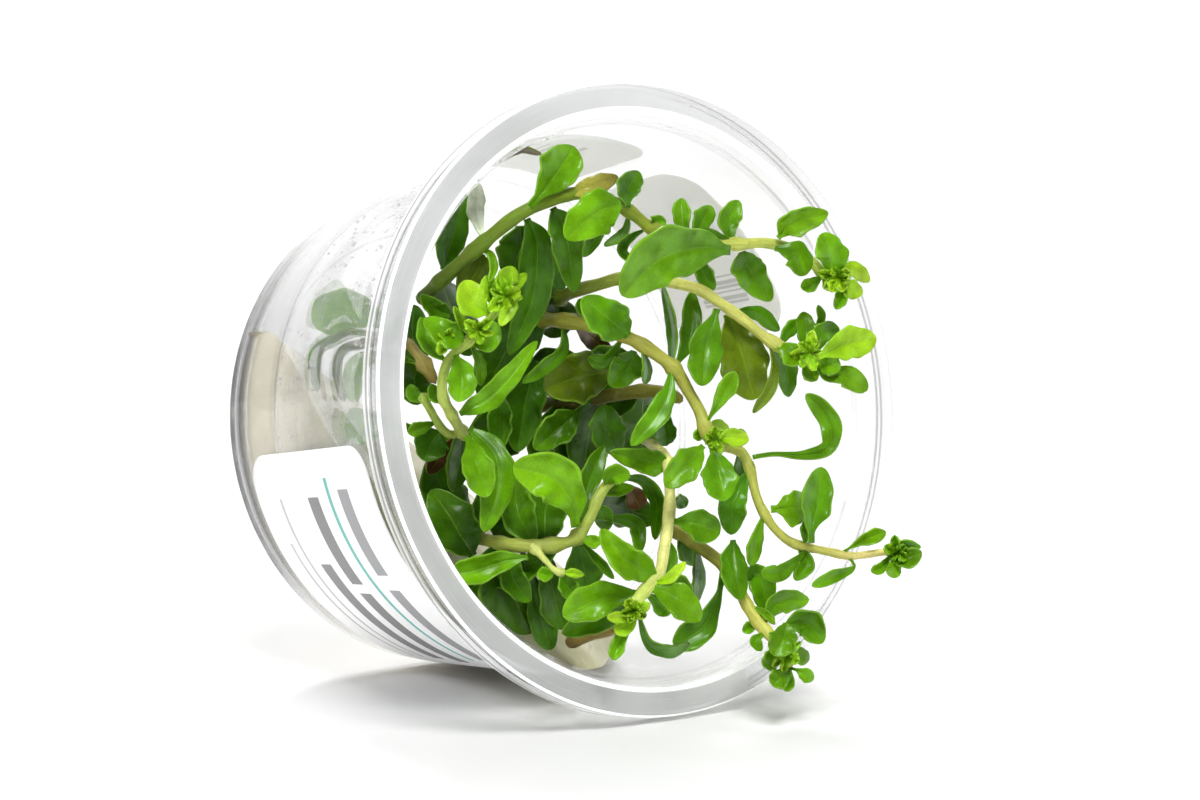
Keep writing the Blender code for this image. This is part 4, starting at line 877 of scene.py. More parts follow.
# the leaves that are in one piece with their stem
stemLeaves = {
    "stem_dark": [
        shade(4.6, (640, 392, -7.5), (612, 402, -14), (575, 408, -18)),
        shade(6.6, (600, 397, -13), (590, 432, -17), (582, 476, -18)),
        shade(6.8, (645, 391, -7), (642, 425, -21), (642, 466, -22.5)),
        shade(8.0, (560, 402, -18), (556, 450, -21), (552, 498, -21)),
        shade(7.4, (535, 407, -25), (500, 430, -25), (466, 474, -25)),
        shade(7.0, (596, 398, -13), (562, 374, -17), (524, 376, -21), widest=0.55),
        shade(7.0, (580, 399, -15), (604, 374, -13), (628, 352, -11), widest=0.55),
        shade(6.0, (575, 401, -15), (572, 435, -19), (580, 470, -19.5)),
    ],
    "stem_top": [
        leaf("mid", 2.2, (608, 201, 5), (598, 232, 3), (583, 257, 1)),
        leaf("mid", 1.4, (629, 212, 5), (624, 232, 2), (604, 246, 0), lean=-1.5, fold=0.0),
        leaf("mid", 1.6, (652, 229, 5), (633, 236, 0), (622, 250, -1), (634, 262, -1)),
        leaf("bright", 2.6, (651, 231, 5), (657, 224, 5.5), (662, 216, 6)),
        leaf("fresh", 2.8, (688, 238, 6), (682, 218, 5), (681, 198, 4)),
        leaf("fresh", 3.2, (692, 238, 6), (702, 221, 6), (711, 206, 5)),
        leaf("fresh", 3.5, (732, 243, 7), (729, 223, 6), (738, 200, 5)),
        leaf("mid", 1.2, (738, 243, 7), (715, 234, 7.5), (697, 229, 7), fold=0.0),
        leaf("mid", 2.8, (692, 240, 6), (702, 270, 3), (714, 290, 2)),
        leaf("lime", 2.5, (835, 276, 12), (852, 268, 12), (869, 282, 11)),
        leaf("lime", 3.0, (835, 276, 12), (848, 287, 13), (862, 295, 13)),
        leaf("bright", 2.0, (836, 277, 12), (842, 294, 13), (836, 309, 13)),
        leaf("bright", 2.2, (822, 274, 11), (812, 284, 11), (801, 287, 10)),
        leaf("lime", 1.5, (823, 275, 11), (827, 284, 11), (829, 291, 10)),
        leaf("bright", 1.3, (473, 250, -5.5), (488, 252, -4), (494, 266, -3.4), (489, 283, -2.6)),
        leaf("white", 2.8, (482, 240, -4), (476, 212, -9), (478, 183, -13)),
        leaf("dried", 3.2, (568, 196, 4), (591, 187, 6), (618, 177, 6), widest=0.55),
        shade(6.0, (440, 281, -11), (452, 310, -21), (470, 356, -24)),
    ],
    "stem_upper": [
        shade(6.0, (561, 298, -13), (545, 270, -15), (528, 234, -15)),
        leaf("olive", 1.8, (768, 340, 7), (775, 370, 8), (768, 393, 7), (753, 413, 6)),
        leaf("bright", 3.6, (775, 345, 7.5), (788, 352, 10), (803, 362, 11)),
        leaf("mid", 2.4, (733, 308, 5.5), (757, 313, 5), (779, 331, 5), lean=0.8),
        leaf("fresh", 3.2, (806, 357, 9), (806, 332, 8), (803, 312, 7)),
        leaf("fresh", 3.4, (812, 359, 9), (822, 335, 9), (839, 328, 8)),
        leaf("fresh", 1.3, (812, 345, 8.5), (821, 320, 8), (818, 305, 7)),
        leaf("fresh", 2.2, (780, 347, 8), (789, 331, 7.5), (801, 320, 7)),
        leaf("bright", 3.5, (815, 361, 9), (828, 364, 11), (840, 370, 12), widest=0.55),
        leaf("bright", 3.6, (811, 360, 9), (826, 377, 10), (845, 375, 11), (867, 391, 11), widest=0.75),
        leaf("bright", 2.4, (803, 357, 9), (809, 371, 9), (816, 381, 9)),
        leaf("mid", 3.6, (772, 343, 7.5), (786, 368, 5), (788, 397, 4), widest=0.45),
        shade(6.4, (561, 298, -13), (557, 312, -17), (550, 338, -19)),
    ],
    "stem_middle": [
        leaf("mid", 1.5, (641, 345, 1.5), (647, 368, 1), (645, 384, 0), lean=1.0),
        leaf("mid", 2.4, (622, 335, 0), (606, 361, -3), (588, 358, -4)),
        leaf("mid", 2.2, (592, 326, -4), (584, 309, -5), (579, 299, -6)),
        leaf("mid", 1.7, (672, 368, 4), (672, 330, 1), (663, 286, 0), lean=2.0, widest=0.5),
        leaf("mid", 3.2, (677, 370, 4), (690, 335, 2), (692, 291, 1)),
        leaf("bright", 2.8, (706, 424, 6.8), (722, 397, 10), (736, 372, 11), widest=0.7),
        leaf("lime", 2.3, (706, 431, 7), (717, 426, 5.5), (728, 434, 4)),
        leaf("bright", 1.6, (706, 434, 7), (700, 432, 5.5), (698, 441, 5), widest=0.7),
        leaf("lime", 2.8, (712, 440, 7), (730, 437, 9), (749, 440, 10)),
        leaf("bright", 2.2, (722, 445, 6.5), (736, 437, 4), (747, 436, 3), widest=0.7),
        leaf("lime", 2.2, (710, 438, 7), (716, 447, 8.5), (724, 448, 9)),
        leaf("mid", 2.6, (738, 451, 6), (741, 470, 3), (739, 487, 2)),
        leaf("fresh", 1.8, (806, 547, 12), (806, 530, 13), (811, 517, 13)),
        leaf("bright", 2.3, (838, 554, 13.5), (862, 541, 15), (886, 532, 15), widest=0.75),
        leaf("fresh", 3.3, (893, 553, 15), (906, 558, 17), (922, 552, 18), widest=0.5),
        leaf("fresh", 2.0, (893, 553, 15), (903, 546, 16), (921, 547, 17), widest=0.5),
        leaf("bright", 1.7, (893, 554, 15), (882, 567, 16), (871, 571, 16)),
        leaf("bright", 2.4, (894, 554, 15), (894, 568, 17), (892, 578, 17)),
        leaf("fresh", 2.0, (850, 556, 14), (854, 567, 15), (838, 575, 16), (812, 586, 16), widest=0.75),
        leaf("fresh", 2.5, (797, 545, 11), (807, 562, 12), (795, 580, 12)),
        leaf("fresh", 2.7, (804, 568, 12), (782, 572, 13), (761, 572, 13)),
        leaf("fresh", 2.3, (764, 514, 9), (756, 542, 9), (751, 566, 9)),
        leaf("mid", 4.4, (749, 468, 7), (734, 500, 6.5), (731, 535, 6), widest=0.6),
        leaf("fresh", 3.6, (671, 367, 4), (668, 393, 5), (657, 414, 5), (631, 446, 4)),
        leaf("mid", 2.2, (562, 321, -9), (564, 348, -8), (546, 367, -8), (522, 383, -8), widest=0.6),
        shade(7.4, (545, 320, -13), (510, 344, -18), (482, 402, -23)),
        leaf("rust", 3.2, (575, 322, -6), (592, 338, -12), (612, 354, -14), fold=0.0, widest=0.5),
    ],
    "stem_lower": [
        leaf("lime", 1.4, (562, 573, -1), (571, 573, 0), (584, 575, 0)),
        leaf("fresh", 3.0, (560, 573, -1), (567, 585, -1), (576, 599, -1)),
        leaf("bright", 2.2, (556, 571, -1), (547, 574, -3), (537, 573, -4)),
        leaf("bright", 3.2, (606, 487, -2), (612, 476, 0), (630, 474, 0)),
        leaf("fresh", 1.9, (600, 495, -2), (615, 491, -3), (634, 487, -3)),
        leaf("mid", 2.5, (616, 478, -2), (643, 481, -3), (657, 503, -4), (655, 540, -5), lean=-1.6, fold=0.0),
        leaf("mid", 3.3, (576, 537, -4), (588, 485, -6), (604, 446, -7)),
        leaf("bright", 2.0, (580, 536, -3), (591, 541, -1.5), (601, 542, -1)),
        leaf("mid", 1.4, (579, 540, -3), (598, 560, -3), (614, 579, -3)),
        leaf("mid", 6.0, (580, 540, -4), (583, 565, -6), (588, 588, -7)),
        leaf("mid", 5.4, (534, 546, -6), (518, 512, -10), (515, 476, -11), widest=0.5),
        leaf("mid", 4.0, (504, 543, -10), (514, 580, -9), (530, 602, -9), widest=0.5),
        leaf("deep", 4.4, (545, 545, -5), (554, 596, -11), (564, 630, -12), widest=0.6),
        leaf("deep", 3.6, (520, 545, -7), (538, 610, -12), (551, 650, -13), widest=0.7),
        leaf("mid", 3.8, (560, 544, -4), (525, 569, -9.5), (494, 586, -10.5), widest=0.5),
        leaf("mid", 2.5, (590, 518, -2), (634, 523, -7), (640, 553, -6)),
        shade(6.0, (545, 545, -5), (545, 512, -13), (556, 470, -16)),
        shade(5.6, (500, 543, -10), (482, 592, -15.6), (498, 634, -15.8)),
        shade(6.0, (466, 535, -22), (446, 500, -24), (430, 458, -26)),
        shade(5.0, (598, 502, -2), (625, 509, -10), (658, 520, -11)),
        leaf("rust", 3.6, (612, 481, -2), (631, 492, -8), (640, 509, -8.5), fold=0.0, widest=0.75),
        leaf("mid", 3.0, (597, 505, -2), (603, 515, -3.5), (606, 531, -5), widest=0.55),
        shade(4.4, (515, 545, -8), (508, 530, -13), (490, 506, -15)),
        shade(3.4, (474, 537, -18), (482, 515, -20), (486, 488, -21)),
    ],
    "stem_pale": [
        leaf("fresh", 4.0, (668, 463, 0.5), (648, 462, 0), (610, 452, 0), widest=0.4),
        leaf("fresh", 5.0, (668, 520, 4), (692, 523, 7), (720, 534, 8), widest=0.7),
        leaf("mid", 2.2, (670, 505, 3), (680, 502, 2), (688, 500, 1)),
        leaf("fresh", 1.7, (668, 535, 4.5), (673, 556, 4), (666, 574, 4)),
        leaf("lime", 1.8, (636, 609, 8), (622, 617, 9), (607, 617, 9)),
        leaf("lime", 2.7, (635, 611, 8), (628, 624, 8), (615, 633, 8)),
        leaf("bright", 2.2, (634, 611, 8), (619, 643, 7), (613, 660, 7)),
        leaf("mid", 2.0, (637, 606, 8), (647, 641, 5), (668, 652, 5), (690, 643, 5), lean=-1.5, fold=0.0),
        leaf("bright", 4.8, (648, 588, 7.5), (675, 597, 11), (700, 621, 12), widest=0.6),
        leaf("fresh", 2.8, (645, 592, 7.5), (661, 606, 7), (669, 615, 7)),
        leaf("lime", 1.7, (652, 583, 7), (668, 579, 10), (686, 562, 11)),
        leaf("fresh", 2.4, (658, 577, 6.5), (679, 582, 5), (691, 597, 4)),
        leaf("bright", 5.6, (642, 593, 7.8), (600, 599, 5), (563, 616, 4), widest=0.6),
        leaf("bright", 4.8, (653, 577, 6.5), (640, 568, 8), (621, 556, 8.5), (601, 529, 7.5), fold=0.8, widest=0.45),
        leaf("mid", 4.2, (636, 606, 7.5), (602, 617, 2), (562, 634, 0), widest=0.55),
    ],
    "stem_hanging": [
        leaf("mid", 2.9, (678, 533, -4), (686, 550, -4), (697, 565, -5)),
        leaf("mid", 2.0, (694, 543, -2), (699, 572, 0), (696, 603, 0), lean=1.5, fold=0.0),
        leaf("fresh", 4.0, (737, 585, 6), (755, 573, 7), (763, 588, 7.5), (765, 612, 8)),
        leaf("fresh", 3.5, (762, 626, 11), (779, 603, 11), (809, 600, 10)),
        leaf("bright", 1.2, (753, 600, 8.6), (765, 613, 11), (775, 624, 12)),
        leaf("bright", 1.7, (757, 620, 10), (751, 626, 9), (743, 632, 8)),
        leaf("bright", 1.8, (767, 632, 12), (756, 640, 12), (761, 651, 12)),
        leaf("bright", 2.8, (780, 646, 13), (772, 658, 13), (770, 671, 12)),
        leaf("bright", 2.8, (789, 663, 13), (799, 657, 13), (809, 659, 12)),
        leaf("bright", 3.2, (791, 667, 13), (781, 677, 15), (772, 685, 15)),
        leaf("bright", 1.5, (791, 668, 13), (790, 682, 12), (785, 691, 12)),
        leaf("bright", 2.2, (791, 668, 13), (801, 672, 15), (813, 680, 15), widest=0.75),
        leaf("mid", 4.6, (723, 566, 3), (717, 600, 3), (701, 628, 2), (674, 647, 1), widest=0.75),
    ],
    "stem_left": [
        leaf("lime", 2.6, (496, 310, -4), (490, 291, -4), (487, 275, -5)),
        leaf("lime", 3.2, (506, 296, -4), (508, 281, -2), (511, 266, -2)),
        leaf("lime", 1.7, (506, 296, -4), (517, 284, -4), (526, 273, -5)),
        leaf("lime", 2.3, (502, 302, -4), (510, 306, -2), (500, 326, -2)),
        leaf("bright", 3.2, (466, 343, -6), (488, 342, -4), (494, 321, -3)),
        leaf("fresh", 1.8, (469, 341, -6), (480, 362, -6), (481, 386, -7)),
        leaf("bright", 2.5, (449, 362, -7), (429, 345, -9), (421, 317, -10)),
        leaf("lime", 1.4, (472, 339, -6), (464, 325, -4), (454, 306, -4)),
        leaf("fresh", 2.2, (437, 422, -15), (421, 428, -15), (408, 433, -16)),
        leaf("fresh", 2.2, (426, 402, -13.5), (415, 396, -15), (409, 385, -16)),
        leaf("fresh", 2.0, (444, 402, -9.5), (436, 397, -11), (431, 384, -12)),
        shade(3.2, (461, 431, -15), (459, 462, -20), (453, 492, -21)),
        leaf("rust", 2.8, (461, 431, -15), (441, 456, -22), (428, 474, -22), fold=0.0, widest=0.6),
        leaf("bright", 5.8, (472, 452, -24), (410, 428, -26), (370, 425, -26.5), (345, 428, -28), fold=0.0, widest=0.8),
    ],
    "stem_brown": [
        shade(5.0, (424, 364, -20), (412, 335, -24), (414, 305, -26)),
        shade(5.0, (424, 364, -20), (414, 378, -25), (418, 405, -25)),
        leaf("bright", 7.6, (404, 341, -24), (372, 316, -32), (342, 312, -37), (312, 322, -40), fold=0.0, widest=0.7),
        leaf(
            "mid", 2.0, (404, 341, -24), (366, 333, -28), (340, 338, -31), (318, 350, -35.5), (315, 372, -36),
            (318, 392, -35), fold=0.0, widest=0.6,
        ),
        leaf("bright", 3.7, (424, 364, -20), (385, 356, -25), (357, 366, -28), (354, 403, -27), fold=0.0, widest=0.75),
    ],
}

# whorls at the shoots' tips: place as in a route, reach in pixels of the photo
tips = {
    "stem_left": [
        dict(place=(505, 296, -3), reach=25, count=9, tone="lime"),
        dict(place=(478, 330, -3), reach=19, count=6, tone="lime"),
        dict(place=(446, 338, -5), reach=19, count=5, tone="lime"),
    ],
    "stem_top": [dict(place=(838, 277, 13), reach=22, count=8, tone="lime")],
    "stem_upper": [dict(place=(809, 352, 10), reach=22, count=7, tone="lime")],
    "stem_middle": [
        dict(place=(713, 440, 8), reach=17, count=7, tone="lime"),
        dict(place=(896, 553, 16), reach=19, count=6, tone="bright"),
    ],
    "stem_pale": [dict(place=(634, 611, 9), reach=18, count=7, tone="lime")],
    "stem_hanging": [dict(place=(786, 655, 14), reach=21, count=8, tone="lime")],
}

# the leaves that stand for a node of their own
leaves = {
    "top_leaf_curled": leaf("bright", 6.4, (530, 207, 4.5), (545, 188, 5), (560, 168, 4.5), (573, 146, 3), widest=0.7),
    "top_leaf_thin": leaf(
        "brown", 1.0, (541, 154, -13), (520, 150, -14), (499, 162, -15), lean=1.2, fold=0.0, widest=0.4,
    ),
    "top_leaf_twisted": leaf("mid", 3.8, (628, 207, 8), (628, 190, 6), (638, 171, 5)),
    "top_leaf_broad": leaf("bright", 6.8, (621, 204, 9), (598, 212, 10), (565, 238, 9), widest=0.5),
    "top_leaf_large": leaf("fresh", 8.2, (730, 250, 10), (695, 248, 12), (655, 262, 12), (622, 296, 10), widest=0.55),
    "top_leaf_right_upper": leaf("bright", 4.1, (778, 238, 10), (791, 225, 11), (828, 213, 10), widest=0.6),
    "top_leaf_right_lower": leaf("fresh", 4.2, (775, 248, 11), (796, 254, 13), (804, 276, 13), widest=0.6),
    "top_leaf_tip": leaf("bright", 5.0, (828, 271, 14), (832, 256, 15), (822, 233, 15), widest=0.5),
    "top_leaf_hanging": leaf("fresh", 5.1, (742, 252, 6), (750, 272, 4), (771, 301, 4), widest=0.45),
    "left_leaf_high": leaf("mid", 4.4, (443, 270, -17), (452, 238, -16), (466, 194, -17), widest=0.5),
    "inner_leaf_dark": leaf("deep", 6.0, (520, 226, -4), (520, 248, -6), (508, 278, -7), widest=0.5),
    "inner_leaf_long": leaf("mid", 5.4, (527, 219, -0.5), (537, 247, -3), (532, 300, -8), (509, 355, -11), widest=0.5),
    "inner_leaf_shaded": leaf("mid", 5.0, (553, 208, 1.5), (566, 236, -1), (574, 292, -5), widest=0.5),
    "inner_leaf_olive": leaf("olive", 5.4, (482, 254, -9), (477, 270, -11), (460, 296, -13), widest=0.5),
    "left_leaf_round": leaf("lime", 4.8, (489, 314, -2.6), (476, 305, -2), (463, 281, -2), widest=0.6),
    "left_leaf_spoon": leaf("bright", 4.5, (456, 355, -4.6), (462, 378, -4), (458, 402, -4), widest=0.55),
    "left_leaf_wide": leaf("bright", 4.2, (464, 340, -3), (450, 335, -4), (424, 319, -6), widest=0.5),
    "left_leaf_back": leaf("mid", 2.9, (451, 315, -11.5), (436, 309, -12), (421, 295, -12), widest=0.4),
    "left_leaf_long": leaf("bright", 3.6, (460, 414, -7.6), (496, 392, -6), (537, 341, -6), widest=0.45),
    "left_leaf_low": leaf("deep", 5.0, (440, 432, -19), (432, 442, -19), (424, 461, -19), widest=0.45),
    "left_leaf_large": leaf("fresh", 5.3, (470, 428, -9), (494, 455, -6), (497, 490, -5), (484, 532, -4), widest=0.5),
    "left_leaf_front": leaf("bright", 4.8, (467, 436, -6.5), (476, 462, -2), (487, 497, -1), widest=0.62),
    "inner_leaf_mid": leaf("mid", 3.8, (500, 394, -13), (500, 420, -13), (498, 452, -13), widest=0.5),
    "inner_leaf_deep": leaf("deep", 5.4, (536, 360, -16), (526, 400, -17), (517, 452, -18), widest=0.5),
    "inner_leaf_back": leaf("mid", 5.0, (578, 412, -10), (560, 427, -11), (534, 449, -12), widest=0.5),
    "inner_leaf_big": leaf("olive", 7.8, (614, 372, -8), (580, 377, -9), (544, 389, -11), widest=0.5),
    "inner_leaf_shine": leaf("mid", 5.6, (617, 456, -11), (608, 432, -9), (604, 405, -9), widest=0.5),
    "inner_leaf_right": leaf("mid", 3.6, (665, 446, -7), (665, 434, -7), (663, 412, -8), widest=0.5),
    "middle_leaf_wide": leaf("fresh", 6.2, (628, 336, 2.8), (612, 322, 4), (582, 298, 4), widest=0.5),
    "middle_leaf_low": leaf("mid", 5.0, (634, 351, -1.5), (628, 366, -3), (610, 386, -4), widest=0.5),
    "upper_leaf_front": leaf("fresh", 5.3, (717, 309, 6.8), (706, 345, 7), (702, 386, 8), widest=0.6),
    "upper_leaf_big": leaf("olive", 7.8, (728, 314, 3), (742, 356, 4), (754, 400, 4), widest=0.55),
    "middle_leaf_left": leaf("bright", 4.7, (703, 446, 9), (688, 463, 10), (666, 487, 10), widest=0.55),
    "middle_leaf_down": leaf("fresh", 5.4, (713, 450, 9.5), (719, 475, 11), (724, 501, 12), widest=0.55),
    "upper_leaf_right": leaf("lime", 5.2, (818, 357, 12), (845, 345, 13), (876, 338, 13), widest=0.62),
    "middle_leaf_curled": leaf(
        "fresh", 3.4, (753, 457, 9), (775, 454, 9), (803, 455, 10), (828, 448, 11), (831, 428, 11), (821, 409, 10),
        (806, 394, 10), lean=0.9, widest=0.72,
    ),
    "right_leaf_tall": leaf("fresh", 4.9, (811, 543, 14), (812, 524, 14.5), (817, 504, 14), (821, 467, 12), widest=0.7),
    "right_leaf_fan": leaf("bright", 5.6, (771, 509, 10), (787, 508, 11), (808, 509, 11), widest=0.7),
    "hanging_leaf_right": leaf("fresh", 4.4, (784, 626, 14), (806, 623, 15), (823, 643, 15), widest=0.55),
    "hanging_leaf_round": leaf("bright", 4.5, (786, 623, 16), (783, 640, 17), (773, 655, 17), widest=0.5),
    "hanging_leaf_long": leaf("mid", 4.2, (733, 540, 7), (733, 565, 8.5), (741, 600, 10), widest=0.55),
    "lower_leaf_big": leaf("bright", 7.4, (576, 527, -0.8), (571, 500, 1), (552, 478, 1), (513, 466, 0), widest=0.62),
    "lower_leaf_left": leaf(
        "deep", 6.4, (473, 556, -12.5), (462, 538, -14), (449, 516, -15.5), (431, 490, -17), widest=0.5,
    ),
    "lower_leaf_bright": leaf(
        "bright", 4.1, (528, 557, -5.5), (505, 561, -7), (468, 572, -9), (448, 573, -11), widest=0.6,
    ),
    "bottom_leaf_dark": leaf("deep", 8.6, (520, 556, -11.6), (512, 590, -12), (530, 634, -14), widest=0.5),
}


def layWithCup(thing):
    # from standing on its base at the origin to lying as the cup does
    thing.location = Vector(inFrame(-cup["depth"] * outOfMouth)[0])
    thing.rotation_euler = (math.pi / 2 - tipUp, 0.0, 0.0)
    pick(thing)
    bpy.ops.object.transform_apply(location=True, rotation=True, scale=True)


def turnedShell(name, profile, sides):
    # (radius, depth past the mouth) points swept round the axis, ring after ring
    clearSelection()
    radius, depth = profile[0]
    bpy.ops.mesh.primitive_circle_add(
        vertices=sides, radius=radius * mm, fill_type="TRIFAN", location=(0, 0, (cup["depth"] - depth) * mm)
    )
    thing = bpy.context.object
    thing.name = name
    bpy.ops.object.transform_apply(location=True, rotation=False, scale=False)
    bpy.ops.object.mode_set(mode="EDIT")
    bpy.ops.mesh.select_mode(type="EDGE")
    bpy.ops.mesh.select_all(action="SELECT")
    bpy.ops.mesh.region_to_loop()
    for nextRadius, nextDepth in profile[1:]:
        rise = (depth - nextDepth) * mm
        bpy.ops.mesh.extrude_edges_move(TRANSFORM_OT_translate={"value": (0.0, 0.0, rise)})
        grow = nextRadius / radius
        bpy.ops.transform.resize(value=(grow, grow, 1.0), center_override=(0.0, 0.0, (cup["depth"] - nextDepth) * mm))
        radius, depth = nextRadius, nextDepth
    bpy.ops.mesh.extrude_edges_move(TRANSFORM_OT_translate={"value": (0.0, 0.0, 0.0)})
    bpy.ops.mesh.merge(type="CENTER")
    bpy.ops.mesh.select_all(action="SELECT")
    bpy.ops.mesh.normals_make_consistent(inside=False)
    bpy.ops.object.mode_set(mode="OBJECT")
    return thing


def aboutAxis(points):
    # how far past the mouth each point is, and how far from the cup's axis, in mm
    points = np.array(points) / mm - mouthMiddle
    depths = -points @ outOfMouth
    return depths, np.linalg.norm(points + depths[:, None] * outOfMouth, axis=1) / toFlat


def makeCup():
    # its outline from the middle of the floor inside, up the wall, over the rim, and down to the foot
    depth, bend = cup["depth"], cup["baseRound"]
    floorDepth = depth - cup["baseWall"] - cup["footHeight"]
    footInner = cup["wallBase"] - bend - cup["footWidth"]
    baseEdge = depth - bend
    rim, wall, skirt, lip = cup["rimRadius"], cup["rimWall"], cup["rimSkirt"], cup["lipRadius"]
    under = rim - wall  # the inside of the skirt
    quarter = [(math.sin(turn), math.cos(turn)) for turn in np.radians((18, 36, 54, 72, 90))]
    profile = [(innerRadius(floorDepth) - 1.6, floorDepth)]
    corner = floorDepth - bend
    profile += [(innerRadius(corner) - bend + bend * sine, corner + bend * cosine) for sine, cosine in quarter]
    first, second, third, last = cup["groove"]
    profile += [
        (innerRadius(last), last), (innerRadius(third) - cup["grooveDepth"], third),
        (innerRadius(second) - cup["grooveDepth"], second), (innerRadius(first), first),
        (innerRadius(24.0), 24.0), (innerRadius(3.0), 3.0), (lip - 0.62, 2.0), (lip - 0.38, 1.2),
        (lip, 0.62), (lip + 0.3, 0.18), (lip + 0.6, 0.02), (lip + 1.1, 0.0),  # over the lip
        (rim - 1.2, 0.0), (rim - 0.5, 0.04), (rim - 0.2, 0.18), (rim - 0.04, 0.4), (rim, 0.8),
        (rim, skirt - 0.3), (rim - 0.1, skirt - 0.08), (rim - 0.3, skirt),  # down the skirt
        (under + 0.25, skirt), (under + 0.06, skirt - 0.1), (under, skirt - 0.3),  # and up inside it
        (under, wall + 0.3), (under - 0.3, wall), (outerRadius(1.6) + 1.2, wall), (outerRadius(1.9) + 0.5, 1.25),
    ]
    profile += [(outerRadius(past), past) for past in (2.4, 30.0, cup["baseBand"], baseEdge)]
    profile += [(outerRadius(baseEdge) - bend + bend * cosine, baseEdge + bend * sine) for sine, cosine in quarter]
    profile += [(footInner, depth), (footInner - 0.3, depth - 0.15), (footInner - 0.6, depth - cup["footHeight"])]
    shell = turnedShell("cup_clear", [(radius * toFlat, depth) for radius, depth in profile], cup["sides"])
    layWithCup(shell)
    pick(shell)
    bpy.ops.object.shade_smooth_by_angle(angle=math.radians(32))
    wear(shell, clearSkin, rimSkin, baseEdgeSkin)
    depths, radii = aboutAxis([face.center for face in shell.data.polygons])
    for face, past, radius in zip(shell.data.polygons, depths, radii):
        if past < 5.0 and radius > lip + 0.35:  # the flat ring and its skirt are cloudier than the wall, with painted shade and highlights
            face.material_index = 1
        elif past > cup["baseBand"] + 0.2 and radius > cup["wallBase"] - 2 * bend:  # and the base's edge is darker
            face.material_index = 2
    depths, radii = aboutAxis(pointsOf(shell))
    carry(shell, "turned", "FLOAT_VECTOR", np.stack([depths, radii, depths * 0], axis=1))
    settle(shell, "cup", "clear_plastic")
    return shell


gel = {
    "gap": 0.4,  # mm to the wall
    "roll": math.radians(40.0),  # which way it has slumped: down and to the left
    # (height above the axis, depth past the mouth) of its slumped face before that roll
    "face": (
        (-50.0, 16.5), (-42.0, 16.9), (-36.0, 17.5), (-32.0, 21.0), (-28.0, 27.0), (-24.0, 32.0), (-20.0, 36.0),
        (-16.0, 42.0), (-12.0, 48.0), (-9.5, 55.0),
    ),
    "top": -9.2,  # how high it reaches above the axis, and how far past the mouth there
    "topDepth": 55.0,
    "bottom": 61.1,
    "rings": 56,  # of the mesh, over its face, its wall and its base
    "wallRings": 14,
    "baseRings": 8,
    "spokes": 160,
}


def makeGel():
    clearSelection()
    rings = gel["rings"] + gel["wallRings"] + gel["baseRings"]
    bpy.ops.mesh.primitive_uv_sphere_add(segments=gel["spokes"], ring_count=rings, radius=1.0)
    thing = bpy.context.object
    thing.name = "gel_cloudy"
    flat = pointsOf(thing)
    ring = np.rint(np.arccos(np.clip(flat[:, 2], -1, 1)) / np.pi * rings)
    turn = np.arctan2(flat[:, 1], flat[:, 0])
    faceRings, wallRings = gel["rings"], gel["rings"] + gel["wallRings"]
    outward, inward = ring / faceRings, (rings - ring) / gel["baseRings"]
    reach = np.where(ring <= faceRings, outward, np.where(ring <= wallRings, 1.0, inward))
    down = np.clip((ring - faceRings) / gel["wallRings"], 0.0, 1.0)
    heights = [stop[0] for stop in gel["face"]]
    depths = [stop[1] for stop in gel["face"]]
    full = cup["wallTop"] - cup["wall"] - gel["gap"] - 1.0
    height = np.cos(turn) * reach * full
    depth = np.interp(height, heights, depths)
    lumps = 0.35 * np.sin(height * 0.55 + 2 * np.sin(turn * 3)) + 0.3 * np.sin(np.sin(turn) * reach * 22 + height * 0.2)
    depth = depth + lumps * (1 - reach**4)
    over = np.clip((height - gel["top"]) / (full - gel["top"]), 0.0, 1.0)
    last = gel["bottom"] - gel["topDepth"]
    depth = np.where(height > gel["top"], gel["topDepth"] + last * over**0.5, depth)
    depth = depth + (gel["bottom"] - depth) * down
    radius = (innerRadius(depth) - gel["gap"]) * reach
    radius = np.where(depth > gel["bottom"] - 1.5, radius * (1 - 0.03 * (depth - gel["bottom"] + 1.5) / 1.5), radius)
    x = np.sin(turn) * radius
    y = np.minimum(np.cos(turn) * radius, gel["top"] + 0.25 * np.sin(x * 0.5))
    cosine, sine = math.cos(gel["roll"]), math.sin(gel["roll"])
    points = np.stack([x * cosine + y * sine, y * cosine - x * sine, cup["depth"] - depth], axis=1) * mm
    setPoints(thing, points)
    mend(thing, 0.03 * mm, 0.01 * mm)
    layWithCup(thing)
    pick(thing)
    bpy.ops.object.shade_smooth_by_angle(angle=math.radians(50))
    wear(thing, gelSkin)
    settle(thing, "gel", "growing_gel")
    return thing


# degrees round the cup from its top, mm past the mouth, and the radius of a corner
labels = {
    "label_front": dict(start=196.0, end=266.5, upper=15.8, lower=55.5, corner=5.0),
    "label_top": dict(start=-12.0, end=23.5, upper=15.6, lower=41.0, corner=4.0),
    "label_side": dict(start=31.0, end=77.0, upper=16.2, lower=43.5, corner=6.0),
}
paperThick = 0.2  # mm
paperGap = 0.1
grey = colour(0.25, 0.25, 0.26)
dark = colour(0.10, 0.10, 0.10)
teal = colour(0.05, 0.42, 0.36)
